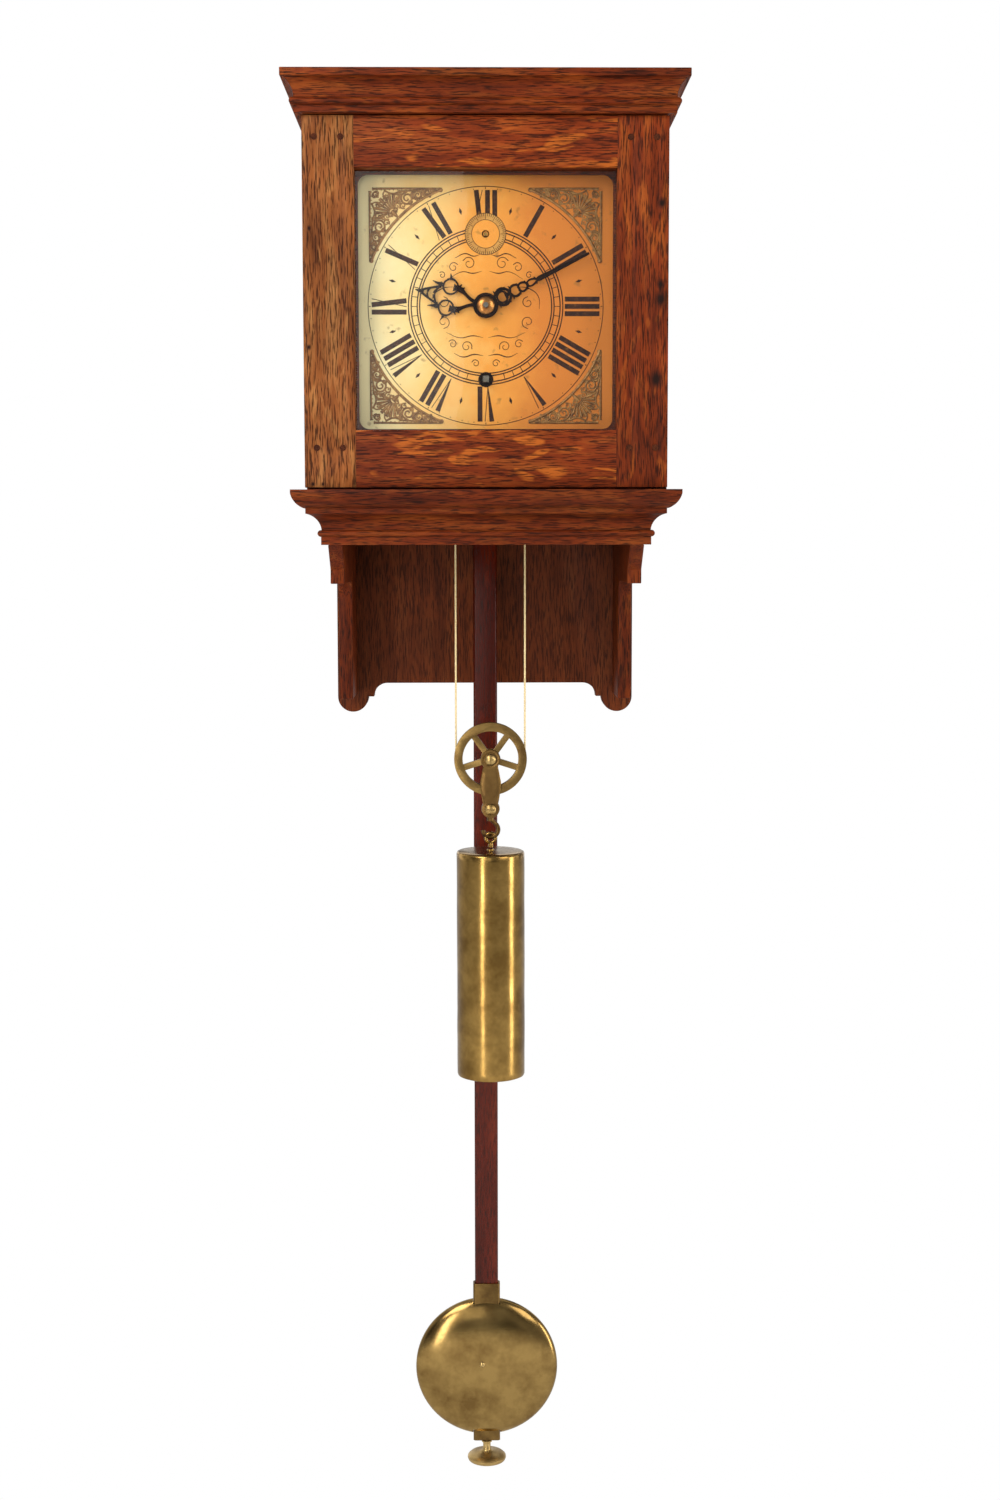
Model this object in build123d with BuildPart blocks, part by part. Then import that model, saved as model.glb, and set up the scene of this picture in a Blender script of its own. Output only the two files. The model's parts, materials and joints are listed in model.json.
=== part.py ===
from build123d import *
import math
import os

# Hooded wall clock with a seconds pendulum and one pulley-hung weight. Millimetres.
# Origin: the hanging hole on the back face. +Z up, the dial faces -Y, the wall is the plane Y = 0.
# A depth is a distance from the wall towards the viewer, so it lies at Y = -depth.

# Case
hood_width = 280.0
hood_height = 283.0
hood_wall = 9.5
hood_clearance = 0.5            # hood over the backboard's edges and over the shelf
case_depth = 236.0              # wall to the front of the door
hang_height = 262.0             # hanging hole above the shelf
backboard_thickness = 18.0
hanging_hole_radius = 4.0
hanging_plate_width = 34.0
hanging_plate_height = 46.0
hanging_plate_thickness = 3.0
hook_room_radius = 11.0         # pocket behind the hanging plate, for the hook's head

# Door
door_thickness = 18.0
stile_width = 39.5
top_rail_width = 39.5
bottom_rail_width = 45.5
tenon_length = 35.0
tenon_thickness = 6.0
tenon_shoulder = 9.0
peg_radius = 2.4
peg_insets = (9.5, 29.5)        # from the door's outer edge
peg_rise = 32.0                 # shelf to the lower pegs
peg_fall = 16.0                 # door top to the upper pegs
door_gap = 0.8                  # under the cornice, and behind the door
door_foot_gap = 1.8             # under the door, where its pivot plate lies
glass_thickness = 2.0
glass_setback = 9.0             # front of the door to the front of the glass
rabbet_width = 5.0
bead_width = 4.6
glass_slack = 0.6
peg_proud = 0.4
pivot_inset = 7.0               # pivot axis from the door's right edge
pivot_setback = 9.0             # pivot axis from the door's back
heel_round = 6.0                # on the door's back edge, so that it turns clear
pivot_radius = 2.5
pivot_length = 7.0
pivot_plate_thickness = 1.2
pivot_plate_length = 20.0
running_clearance = 0.05

# Dial mask behind the door
mask_lip = 1.8                  # mask seen inside the door's opening
mask_corner_radius = 8.0
mask_thickness = 5.0
mask_side_gap = 0.8

# Cornice, from its foot upwards
cornice_fillet = 5.5
cornice_bead = 6.0
cornice_cove = 14.0
cornice_cap = 6.0
cornice_fillet_out = 5.4
cornice_bead_out = 8.6
cornice_cove_out = 13.4
cornice_cap_out = 15.0
hood_top_thickness = 10.0

# Shelf moulding, from its top downwards
shelf_lip = 3.0
shelf_ovolo = 11.2
shelf_fillet = 4.2
shelf_cavetto = 12.6
shelf_bead = 5.2
shelf_foot = 6.3
shelf_lip_out = 10.8
shelf_ovolo_in = 1.4            # outward offset where the ovolo ends
shelf_cavetto_in = 11.6         # inward offset at the cavetto's foot
shelf_bead_in = 8.6
shelf_foot_in = 11.2
shelf_core_inset = 24.0         # moulding's back, inside the hood's face
shelf_frame_rail = 28.0
shelf_back_rail = 16.0

# Brackets
bracket_inset = 6.0             # inside the backboard's edge
bracket_thickness = 11.2
bracket_front_setback = 18.0    # door front to the bracket's nose, at its top
bracket_nose_slant = 27.0
bracket_nose_drop = 20.0
bracket_arm_height = 31.0
bracket_shank_depth = 86.0      # wall to the shank's front
bracket_length = 131.0
bracket_fillet = 15.0

# Backboard outline
backboard_drop = 164.5          # shelf to the plain bottom edge
lobe_drop = 190.0
lobe_radius = 13.4
cove_radius = 12.0
lobe_neck = 5.0

# Dial
dial_height = 142.8             # dial centre above the shelf
dial_side = 206.0
dial_thickness = 2.2
dial_setback = 32.0             # door front to the dial's face
dial_circle_radius = 92.0
spandrel_half = 91.0            # dial centre to a spandrel's straight edges
spandrel_reach = 66.0
spandrel_thickness = 1.6
spandrel_circle_gap = 1.5
spandrel_piercings = (          # along one edge, along the other, radius; from the outer corner
    (16.0, 8.5, 3.0),
    (26.0, 7.0, 2.8),
    (36.0, 5.2, 2.2),
    (14.0, 14.0, 2.6),
)
dial_hole_gap = 0.8
dial_foot_radius = 3.2
dial_foot_x = 44.0
dial_foot_z = 72.0
seconds_hole_radius = 1.4
winding_hole_radius = 4.6

# Hands
hour_hand_length = 55.5
hour_hand_clock = 283.0         # clockwise from twelve, degrees
minute_hand_length = 90.5
minute_hand_clock = 63.5
hand_thickness = 1.2
hand_rise = 3.2                 # between the hour hand's back and the minute hand's back
hour_hand_lift = 2.6            # dial to the hour hand
collet_radius = 7.8
collet_height = 2.6
collet_edge = 0.8
hand_bar = 1.5
hour_hub_radius = 8.2
hour_loop_at = 31.0
hour_loop_offset = 8.4
hour_loop_radius = 7.2
hour_loop_hole = 5.0
hour_disc_radius = 2.2
hour_leaf_rim = 1.5
hour_leaf_waist = 13.5          # loops to the leaf's waist
hour_leaf_waist_half = 4.7
hour_leaf_point = 6.5           # solid point of the leaf
hour_neck_half = 1.4
minute_hub_radius = 7.4
minute_loop_at = 20.5
minute_loop_radius = 5.4
minute_loop_hole = 3.4
minute_scroll_at = 11.0
minute_scroll_radius = 3.6
blade_half = 2.1
blade_overlap = 0.6             # blade's foot into the loop
blade_swell = 6.0               # from the blade's foot to its widest place
blade_tip_half = 0.5

# Movement plates, from the wall forwards
back_plate_depth = 98.0
plate_thickness = 3.0
plate_spacing = 69.0
plate_width = 112.0
plate_top = 98.0                # above the dial centre
pillar_radius = 5.0
pillar_inset = 8.0
pillar_nut = 3.0
seat_height = 26.0              # seatboard top above the shelf
seat_thickness = 14.0
seat_width = 226.0
seat_back_depth = 80.0
seat_setback = 8.0              # seatboard's front edge behind the dial
cheek_width = 18.0
bolt_radius = 2.5
bolt_gap = 0.5
bolt_nut = 4.0
bolt_claw = 4.0
stud_radius = 1.2
stud_length = 12.0
stud_end = 3.0                  # stud in front of the pinion
crutch_hole_radius = 4.0
cock_depth = 70.0
cock_rise = 14.0                # above the crutch arbor
chop_width = 10.0
chop_margin = 1.0               # chops wider than the spring
spring_gap = 0.3                # chops to the flexing point

# Train: tooth counts and modules
great_teeth, centre_pinion_teeth = 96, 8
centre_teeth, third_pinion_teeth = 64, 8
third_teeth, escape_pinion_teeth = 60, 8
escape_teeth = 30
cannon_teeth, hour_teeth, minute_pinion_teeth = 42, 72, 6
great_module = 1.0865
centre_module = 0.95
third_module = 0.85
cannon_module = 0.85
seconds_rise = 55.5             # seconds arbor above the dial centre
escape_radius = 20.0
escape_gap = 1.6                # clearance of the opened escapement
great_wheel_thickness = 3.0
wheel_thickness = 1.8
escape_thickness = 1.4
pinion_length = 7.0
pinion_margin = 2.0             # pinion's end behind the wheel that it meets
great_gap = 4.0                 # back plate to the great wheel
ratchet_gap = 0.4               # great wheel to the ratchet
centre_setback = 10.5           # front plate to the centre wheel
third_setback = 32.0            # front plate to the third wheel
escape_advance = 12.0           # third wheel to the escape wheel
motion_gap = 2.0                # front plate to the motion work
hour_advance = 5.0              # cannon wheel to the hour wheel
arbor_radius = 2.0
thin_arbor_radius = 1.6
arbor_play = 1.0                # arbor's shoulders to the plates
fine_pivot_radius = 1.0
barrel_radius = 24.0
barrel_flange = 1.6
barrel_length = 42.0
barrel_arbor_radius = 5.0
barrel_pivot_radius = 3.5
winding_square = 4.8
ratchet_teeth = 24
ratchet_radius = 17.0
ratchet_tooth = 2.0
ratchet_thickness = 2.5
click_radius = 3.0
click_angle = math.radians(35)
arbor_nose = 14.0               # round part in front of the plate, behind the square
square_proud = 9.0              # winding square in front of the dial
centre_proud = 12.5             # centre arbor in front of the dial
escape_tooth = 3.6
escape_rim = 1.8
escape_spokes = 5
escape_spoke_width = 1.6
escape_hub = 4.0
cannon_pipe_radius = 3.0
hour_pipe_radius = 4.4

# Tooth form as shares of the module (heights) and of the pitch (widths)
wheel_form = (0.8, 1.0, 0.54, 0.44, 0.16)
pinion_form = (0.5, 1.1, 0.26, 0.36, 0.18)

# Line, pulley and weight
line_radius = 0.75
line_gap = 0.15                 # line to the barrel and to the pulley groove
line_hole_radius = 4.0
pulley_radius = 30.2
pulley_width = 7.0
pulley_rim = 7.0
pulley_drop = 219.8             # shelf to the pulley's axis at rest
pulley_hub_radius = 7.0
pulley_axle_radius = 2.5
pulley_spokes = 5
spoke_start = 54.0
spoke_recess = 1.2
axle_proud = 2.0
axle_head_radius = 4.6
spoke_width = 5.0
groove_depth = 1.6
groove_lip = 1.0                # flat on each side of the groove
strap_thickness = 2.0
strap_width = 16.0
strap_neck = 12.4
strap_foot = 12.0
strap_gap = 0.5
boss_radius = 7.3
boss_drop = 41.7                # pulley axis to the boss under the wheel
hook_wire_radius = 1.8
hook_bend_radius = 6.4
hook_bottom_drop = 285.6        # shelf to the hook's lowest wire centre
hook_collar_radius = 3.0
hook_sink = 2.0                 # hook's neck, screwed into the boss
eye_gap = 0.1
eye_stem_radius = 2.2
eye_radius = 5.5
eye_wire_radius = 1.5
weight_radius = 28.5
weight_top_drop = 297.0
weight_length = 191.0
weight_wall = 1.2
weight_end_round = 1.0

# Pendulum
pendulum_depth = 56.0
rod_width = 20.5
rod_thickness = 7.6
rod_chamfer = 1.4
rod_top_drop = 26.0             # flexing point to the rod's top
spring_thickness = 0.4
spring_width = 8.0
sleeve_width = 23.8
sleeve_thickness = 9.6
sleeve_top_drop = 698.0         # shelf to the sleeve's top
sleeve_bottom_drop = 843.0
sleeve_floor = 3.0
sleeve_chamfer = 1.4
sleeve_clearance = 0.1
bob_radius = 63.2
bob_drop = 775.0
bob_thickness = 27.0
bob_edge = 2.4
bob_swell = 0.76                # share of the swell left at half the radius
rod_bottom_drop = 829.0
rating_screw_radius = 2.0
rating_screw_bottom_drop = 866.0
rating_nut_radius = 17.2
rating_nut_thickness = 5.0
rating_nut_drop = 857.5         # shelf to the top of the nut's rim
rating_hub_radius = 3.2
nut_round = 1.6
nut_gap = 0.1
clasp_width = 12.0
clasp_height = 5.0

# Crutch and pallets
crutch_length = 108.0
crutch_fork_gap = 0.4
crutch_gap = 5.0                # cock to the crutch
crutch_hub_radius = 4.5
crutch_width = 5.0
crutch_thickness = 2.5
nib_length = 6.0
nib_width = 3.2
pallet_span_teeth = 7.5
pallet_thickness = 4.0

# Derived heights (Z) and places
shelf_z = -hang_height
dial_z = shelf_z + dial_height
hood_top_z = shelf_z + hood_height
cornice_height = cornice_fillet + cornice_bead + cornice_cove + cornice_cap
hood_half = hood_width / 2
backboard_half = hood_half - hood_wall - hood_clearance
bracket_outer = backboard_half - bracket_inset
shelf_height = shelf_lip + shelf_ovolo + shelf_fillet + shelf_cavetto + shelf_bead + shelf_foot
door_back = case_depth - door_thickness
dial_depth = case_depth - dial_setback
seat_front_depth = dial_depth - seat_setback
front_plate_depth = back_plate_depth + plate_thickness + plate_spacing
front_plate_face = front_plate_depth + plate_thickness
winding_drop = great_module * (great_teeth + centre_pinion_teeth) / 2
winding_z = dial_z - winding_drop
seconds_z = dial_z + seconds_rise
pallet_rise = escape_radius * math.sqrt(2) + escape_gap
swing_z = seconds_z + pallet_rise
third_reach = centre_module * (centre_teeth + third_pinion_teeth) / 2
escape_reach = third_module * (third_teeth + escape_pinion_teeth) / 2
third_rise = (third_reach**2 - escape_reach**2 + seconds_rise**2) / (2 * seconds_rise)
third_x = math.sqrt(third_reach**2 - third_rise**2)
third_z = dial_z + third_rise
motion_reach = cannon_module * cannon_teeth
hour_module = 2 * motion_reach / (hour_teeth + minute_pinion_teeth)
seat_z = shelf_z + seat_height
line_ring = pulley_radius - groove_depth
line_left_x = -(barrel_radius + line_radius + line_gap)
pulley_x = line_left_x + line_ring
line_right_x = pulley_x + line_ring
pulley_z = shelf_z - pulley_drop
line_depth = back_plate_depth + plate_thickness + plate_spacing / 2

os.makedirs("parts", exist_ok=True)


def facing(x, z, depth):
    """Plane that looks at the viewer, with its own origin at (x, z)."""
    return Plane(origin=(x, -depth, z), x_dir=(1, 0, 0), z_dir=(0, -1, 0))


def disc(x, z, depth, radius):
    with BuildSketch(facing(x, z, depth)) as face:
        Circle(radius)
    return face.sketch


def block_face(x, z, depth, width, height):
    with BuildSketch(facing(x, z, depth)) as face:
        Rectangle(width, height)
    return face.sketch


def tooth_points(teeth, module, form, phase):
    """Outline of a toothed wheel; phase is the angle of one tooth's centre, degrees."""
    addendum, dedendum, root, pitch, tip = form
    pitch_radius = teeth * module / 2
    heights = (-dedendum, 0, addendum)
    points = []
    for tooth in range(teeth):
        centre = math.radians(phase + 360 * tooth / teeth)
        flank = [(height, share / 2) for height, share in zip(heights, (root, pitch, tip))]
        for side, height, share in [(-1, *f) for f in flank] + [(1, *f) for f in reversed(flank)]:
            radius = pitch_radius + height * module
            angle = centre + side * share * math.pi * module / pitch_radius
            points.append((radius * math.cos(angle), radius * math.sin(angle)))
    return points


def toothed(x, z, depth, teeth, module, form, phase, bore, spokes=0, hub=0, rim=0):
    """Toothed wheel face, crossed out with straight spokes when spokes is given."""
    root_radius = teeth * module / 2 - form[1] * module
    with BuildSketch(facing(x, z, depth)) as face:
        with BuildLine():
            Polyline(*tooth_points(teeth, module, form, phase), close=True)
        make_face()
        if spokes:
            Circle(root_radius - rim, mode=Mode.SUBTRACT)
            Circle(hub)
            with PolarLocations(0, spokes):
                with Locations((root_radius / 2, 0)):
                    Rectangle(root_radius - rim, hub * 0.7)
        if bore:
            Circle(bore, mode=Mode.SUBTRACT)
    return face.sketch


def write(piece, name):
    piece.label = name
    export_step(piece, f"parts/{name}.step")


# Backboard: a plain board with round ears at its foot, a hanging hole and a recess for its plate
board_top_z = hood_top_z + cornice_height - hood_top_thickness - hood_clearance
board_foot_z = shelf_z - backboard_drop
lobe_z = shelf_z - lobe_drop + lobe_radius
lobe_center = backboard_half - lobe_radius
lobe_inner = lobe_center - lobe_radius
cove_center = lobe_inner - lobe_neck - cove_radius
with BuildPart() as backboard:
    with BuildSketch(Plane.XZ):
        with BuildLine():
            Polyline((0, board_top_z), (backboard_half, board_top_z), (backboard_half, lobe_z))
            CenterArc((lobe_center, lobe_z), lobe_radius, 0, -180)
            Polyline(
                (lobe_inner, lobe_z),
                (lobe_inner, board_foot_z - cove_radius),
                (lobe_inner - lobe_neck, board_foot_z - cove_radius),
            )
            CenterArc((cove_center, board_foot_z - cove_radius), cove_radius, 0, 90)
            Line((cove_center, board_foot_z), (0, board_foot_z))
            mirror(about=Plane.YZ)
        make_face()
    extrude(amount=backboard_thickness)
    extrude(disc(0, 0, hanging_plate_thickness, hook_room_radius), amount=backboard_thickness,
            mode=Mode.SUBTRACT)
    extrude(block_face(0, 0, 0, hanging_plate_width, hanging_plate_height),
            amount=hanging_plate_thickness, mode=Mode.SUBTRACT)
write(backboard.part, "backboard")

# Iron hanging plate let into the back of the board
with BuildPart() as hanging_plate:
    extrude(block_face(0, 0, 0, hanging_plate_width, hanging_plate_height),
            amount=hanging_plate_thickness)
    extrude(disc(0, 0, 0, hanging_hole_radius), amount=hanging_plate_thickness,
            mode=Mode.SUBTRACT)
write(hanging_plate.part, "hanging_plate")

# Mouldings: a profile is drawn as (outward, z), and corner pieces are cut along the mitre
right_mitre = Plane(origin=(hood_half, -case_depth, 0), z_dir=(1, 1, 0))
left_mitre = Plane(origin=(-hood_half, -case_depth, 0), z_dir=(-1, 1, 0))


def front_moulding_plane(z):
    return Plane(origin=(-hood_width, -case_depth, z), x_dir=(0, -1, 0), z_dir=(-1, 0, 0))


def side_moulding_plane(z):
    return Plane(origin=(hood_half, 0, z), x_dir=(1, 0, 0), z_dir=(0, -1, 0))


def cornice_face(plane):
    bead_z = cornice_fillet + cornice_bead
    cove_z = bead_z + cornice_cove
    with BuildSketch(plane) as face:
        with BuildLine():
            Polyline((0, 0), (cornice_fillet_out, 0), (cornice_fillet_out, cornice_fillet))
            ThreePointArc(
                (cornice_fillet_out, cornice_fillet),
                (cornice_bead_out, cornice_fillet + cornice_bead / 2),
                (cornice_fillet_out, bead_z),
            )
            RadiusArc((cornice_fillet_out, bead_z), (cornice_cove_out, cove_z), cornice_cove * 1.15)
            Polyline(
                (cornice_cove_out, cove_z),
                (cornice_cap_out, cove_z),
                (cornice_cap_out, cornice_height),
                (0, cornice_height),
                (0, 0),
            )
        make_face()
    return face.sketch


def shelf_face(plane):
    ovolo_z = -shelf_lip - shelf_ovolo
    fillet_z = ovolo_z - shelf_fillet
    cavetto_z = fillet_z - shelf_cavetto
    bead_z = cavetto_z - shelf_bead
    with BuildSketch(plane) as face:
        with BuildLine():
            Polyline((-shelf_core_inset, 0), (shelf_lip_out, 0), (shelf_lip_out, -shelf_lip))
            RadiusArc((shelf_lip_out, -shelf_lip), (shelf_ovolo_in, ovolo_z), shelf_ovolo * 1.4)
            Polyline((shelf_ovolo_in, ovolo_z), (0, ovolo_z), (0, fillet_z))
            RadiusArc((0, fillet_z), (-shelf_cavetto_in, cavetto_z), -shelf_cavetto * 1.1)
            Line((-shelf_cavetto_in, cavetto_z), (-shelf_foot_in, cavetto_z))
            ThreePointArc(
                (-shelf_foot_in, cavetto_z),
                (-shelf_bead_in, cavetto_z - shelf_bead / 2),
                (-shelf_foot_in, bead_z),
            )
            Polyline(
                (-shelf_foot_in, bead_z),
                (-shelf_foot_in, -shelf_height),
                (-shelf_core_inset, -shelf_height),
                (-shelf_core_inset, 0),
            )
        make_face()
    return face.sketch


# Shelf that the hood stands on: a frame with mouldings applied round three sides
with BuildPart() as shelf_moulding_front:
    extrude(shelf_face(front_moulding_plane(shelf_z)), amount=-2 * hood_width)
    split(bisect_by=right_mitre, keep=Keep.BOTTOM)
    split(bisect_by=left_mitre, keep=Keep.BOTTOM)
write(shelf_moulding_front.part, "shelf_moulding_front")

with BuildPart() as shelf_moulding_returns:
    extrude(shelf_face(side_moulding_plane(shelf_z)), amount=case_depth + hood_half)
    split(bisect_by=right_mitre, keep=Keep.TOP)
    with BuildSketch(Plane.XY.offset(shelf_z)):
        with Locations((backboard_half - hood_half, -backboard_thickness / 2)):
            Rectangle(hood_width, backboard_thickness)
    extrude(amount=-shelf_height, mode=Mode.SUBTRACT)
    mirror(about=Plane.YZ)
write(shelf_moulding_returns.part, "shelf_moulding_returns")

core_half = hood_half - shelf_core_inset
core_front = case_depth - shelf_core_inset
with BuildPart() as shelf_frame:
    with BuildSketch(Plane.XY.offset(shelf_z - shelf_height)):
        with Locations((0, -(core_front + backboard_thickness) / 2)):
            Rectangle(2 * core_half, core_front - backboard_thickness)
        well_back = backboard_thickness + shelf_back_rail
        well_front = core_front - shelf_frame_rail
        with Locations((0, -(well_back + well_front) / 2)):
            Rectangle(2 * (core_half - shelf_frame_rail), well_front - well_back,
                      mode=Mode.SUBTRACT)
    extrude(amount=shelf_height)
write(shelf_frame.part, "shelf_frame")

# Brackets: an arm with a slanted nose over a deep shank
bracket_top_z = shelf_z - shelf_height
nose_depth = case_depth - bracket_front_setback
for side, side_name in ((-1, "left"), (1, "right")):
    with BuildPart() as bracket:
        with BuildSketch(Plane.YZ.offset(side * bracket_outer)) as profile:
            with BuildLine():
                Polyline(
                    (-backboard_thickness, bracket_top_z),
                    (-nose_depth, bracket_top_z),
                    (-nose_depth + bracket_nose_slant, bracket_top_z - bracket_nose_drop),
                    (-nose_depth + bracket_nose_slant, bracket_top_z - bracket_arm_height),
                    (-bracket_shank_depth, bracket_top_z - bracket_arm_height),
                    (-bracket_shank_depth, bracket_top_z - bracket_length),
                    (-backboard_thickness, bracket_top_z - bracket_length),
                    close=True,
                )
            make_face()
            inner_corner = profile.vertices().sort_by_distance(
                (-bracket_shank_depth, bracket_top_z - bracket_arm_height))[0]
            fillet(inner_corner, bracket_fillet)
        extrude(amount=-side * bracket_thickness)
    write(bracket.part, f"bracket_{side_name}")

# Hood: two sides, a top board, a cornice and the dial mask
side_front = door_back - door_gap
side_foot_z = shelf_z + hood_clearance
hood_crown_z = hood_top_z + cornice_height
pivot_x = hood_half - pivot_inset
pivot_depth = door_back + pivot_setback
pivot_foot_z = shelf_z + hood_clearance
pivot_plate_back = side_front - pivot_plate_length
for side, side_name in ((-1, "left"), (1, "right")):
    with BuildPart() as hood_side:
        with BuildSketch(Plane.XY.offset(side_foot_z)):
            with Locations((side * (hood_half - hood_wall / 2), -(side_front + hood_clearance) / 2)):
                Rectangle(hood_wall, side_front - hood_clearance)
        extrude(amount=hood_crown_z - side_foot_z)
        if side > 0:
            with BuildSketch(Plane.XY.offset(side_foot_z)):
                with Locations((hood_half - hood_wall / 2, -(side_front + pivot_plate_back) / 2)):
                    Rectangle(hood_wall, side_front - pivot_plate_back)
            extrude(amount=pivot_plate_thickness, mode=Mode.SUBTRACT)
    write(hood_side.part, f"hood_side_{side_name}")

with BuildPart() as hood_top:
    with BuildSketch(Plane.XY.offset(hood_crown_z)):
        with Locations((0, -(side_front + hood_clearance) / 2)):
            Rectangle(hood_width - 2 * hood_wall, side_front - hood_clearance)
    extrude(amount=-hood_top_thickness)
write(hood_top.part, "hood_top")

with BuildPart() as cornice_front:
    extrude(cornice_face(front_moulding_plane(hood_top_z)), amount=-2 * hood_width)
    split(bisect_by=right_mitre, keep=Keep.BOTTOM)
    split(bisect_by=left_mitre, keep=Keep.BOTTOM)
    with BuildSketch(Plane.XY.offset(hood_top_z)):
        with Locations((0, -(case_depth + side_front) / 2)):
            Rectangle(hood_width, case_depth - side_front)
    extrude(amount=cornice_height)
    with BuildSketch(Plane.XY.offset(hood_top_z)):
        with Locations((pivot_x, -pivot_depth)):
            Circle(pivot_radius)
    extrude(amount=pivot_length, mode=Mode.SUBTRACT)
write(cornice_front.part, "cornice_front")

with BuildPart() as cornice_returns:
    extrude(cornice_face(side_moulding_plane(hood_top_z).offset(hood_clearance)),
            amount=case_depth + hood_half)
    split(bisect_by=right_mitre, keep=Keep.TOP)
    mirror(about=Plane.YZ)
write(cornice_returns.part, "cornice_returns")

# Opening of the door and of the mask behind it
opening_half = hood_half - stile_width
opening_foot_z = shelf_z + bottom_rail_width
opening_crown_z = hood_top_z - top_rail_width
opening_z = (opening_foot_z + opening_crown_z) / 2
opening_height = opening_crown_z - opening_foot_z
mask_half = hood_half - hood_wall - mask_side_gap
mask_depth = side_front - mask_thickness
with BuildPart() as dial_mask:
    with BuildSketch(facing(0, 0, mask_depth)):
        with Locations((0, (side_foot_z + hood_crown_z - hood_top_thickness) / 2)):
            Rectangle(2 * mask_half, hood_crown_z - hood_top_thickness - side_foot_z)
        with Locations((0, opening_z)):
            RectangleRounded(2 * (opening_half - mask_lip), opening_height - 2 * mask_lip,
                             mask_corner_radius, mode=Mode.SUBTRACT)
    extrude(amount=mask_thickness)
write(dial_mask.part, "dial_mask")

# Door: two stiles, two tenoned rails, pegs, glass and beads, turning on two pivots
door_foot_z = shelf_z + door_foot_gap
door_crown_z = hood_top_z - door_gap
door_height = door_crown_z - door_foot_z
door_z = (door_foot_z + door_crown_z) / 2
glass_depth = case_depth - glass_setback - glass_thickness
peg_places = [
    (side * (hood_half - inset), z)
    for side in (-1, 1)
    for inset in peg_insets
    for z in (shelf_z + peg_rise, door_crown_z - peg_fall)
]
rails = {
    "bottom": (door_foot_z, opening_foot_z),
    "top": (opening_crown_z, door_crown_z),
}
rabbet_half = opening_half + rabbet_width


def glass_rabbet():
    """Space cut from the back of the frame for the glass and its beads."""
    with BuildSketch(facing(0, opening_z, door_back)) as face:
        Rectangle(2 * rabbet_half, opening_height + 2 * rabbet_width)
    return face.sketch


def tenon_face(low_z, high_z, slack):
    """Both tenons of a rail, as one band across the door."""
    return block_face(0, (low_z + high_z) / 2, door_back + (door_thickness - tenon_thickness) / 2
                      - slack, 2 * (opening_half + tenon_length), high_z - low_z
                      - 2 * tenon_shoulder + 2 * slack)


for side, side_name in ((-1, "left"), (1, "right")):
    with BuildPart() as stile:
        extrude(block_face(side * (hood_half - stile_width / 2), door_z, door_back,
                           stile_width, door_height), amount=door_thickness)
        extrude(glass_rabbet(), amount=glass_depth + glass_thickness - door_back,
                mode=Mode.SUBTRACT)
        for low_z, high_z in rails.values():
            extrude(tenon_face(low_z, high_z, 0), amount=tenon_thickness, mode=Mode.SUBTRACT)
        for x, z in peg_places:
            extrude(disc(x, z, door_back, peg_radius), amount=door_thickness, mode=Mode.SUBTRACT)
        if side > 0:
            heel = stile.edges().filter_by(Axis.Z).group_by(Axis.X)[-1].sort_by(Axis.Y)[-1]
            fillet(heel, heel_round)
            for z, length in ((door_foot_z, pivot_length), (door_crown_z, -pivot_length)):
                with BuildSketch(Plane.XY.offset(z)):
                    with Locations((pivot_x, -pivot_depth)):
                        Circle(pivot_radius + running_clearance)
                extrude(amount=length, mode=Mode.SUBTRACT)
    write(stile.part, f"door_stile_{side_name}")

for rail_name, (low_z, high_z) in rails.items():
    with BuildPart() as rail:
        extrude(block_face(0, (low_z + high_z) / 2, door_back, 2 * opening_half, high_z - low_z),
                amount=door_thickness)
        extrude(tenon_face(low_z, high_z, 0), amount=tenon_thickness)
        extrude(glass_rabbet(), amount=glass_depth + glass_thickness - door_back,
                mode=Mode.SUBTRACT)
        for x, z in peg_places:
            extrude(disc(x, z, door_back, peg_radius), amount=door_thickness, mode=Mode.SUBTRACT)
    write(rail.part, f"door_rail_{rail_name}")

with BuildPart() as door_pegs:
    for x, z in peg_places:
        extrude(disc(x, z, door_back, peg_radius), amount=door_thickness + peg_proud)
write(door_pegs.part, "door_pegs")

with BuildPart() as door_glass:
    with BuildSketch(facing(0, opening_z, glass_depth)):
        Rectangle(2 * rabbet_half - glass_slack, opening_height + 2 * rabbet_width - glass_slack)
    extrude(amount=glass_thickness)
write(door_glass.part, "door_glass")

with BuildPart() as glazing_beads:
    with BuildSketch(facing(0, opening_z, door_back)):
        Rectangle(2 * rabbet_half, opening_height + 2 * rabbet_width)
        Rectangle(2 * (rabbet_half - bead_width), opening_height + 2 * (rabbet_width - bead_width),
                  mode=Mode.SUBTRACT)
    extrude(amount=glass_depth - door_back)
write(glazing_beads.part, "glazing_beads")

with BuildPart() as door_pivots:
    with BuildSketch(Plane.XY.offset(pivot_foot_z)):
        plate_front = pivot_depth + pivot_radius + 1
        with Locations((hood_half - hood_wall / 2, -(plate_front + pivot_plate_back) / 2)):
            Rectangle(hood_wall, plate_front - pivot_plate_back)
    extrude(amount=pivot_plate_thickness)
    with BuildSketch(Plane.XY.offset(pivot_foot_z)):
        with Locations((pivot_x, -pivot_depth)):
            Circle(pivot_radius)
    extrude(amount=door_foot_z - pivot_foot_z + pivot_length - running_clearance)
    with BuildSketch(Plane.XY.offset(door_crown_z - pivot_length + running_clearance)):
        with Locations((pivot_x, -pivot_depth)):
            Circle(pivot_radius)
    extrude(amount=hood_top_z - door_crown_z + 2 * pivot_length - running_clearance)
write(door_pivots.part, "door_pivots")

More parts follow.
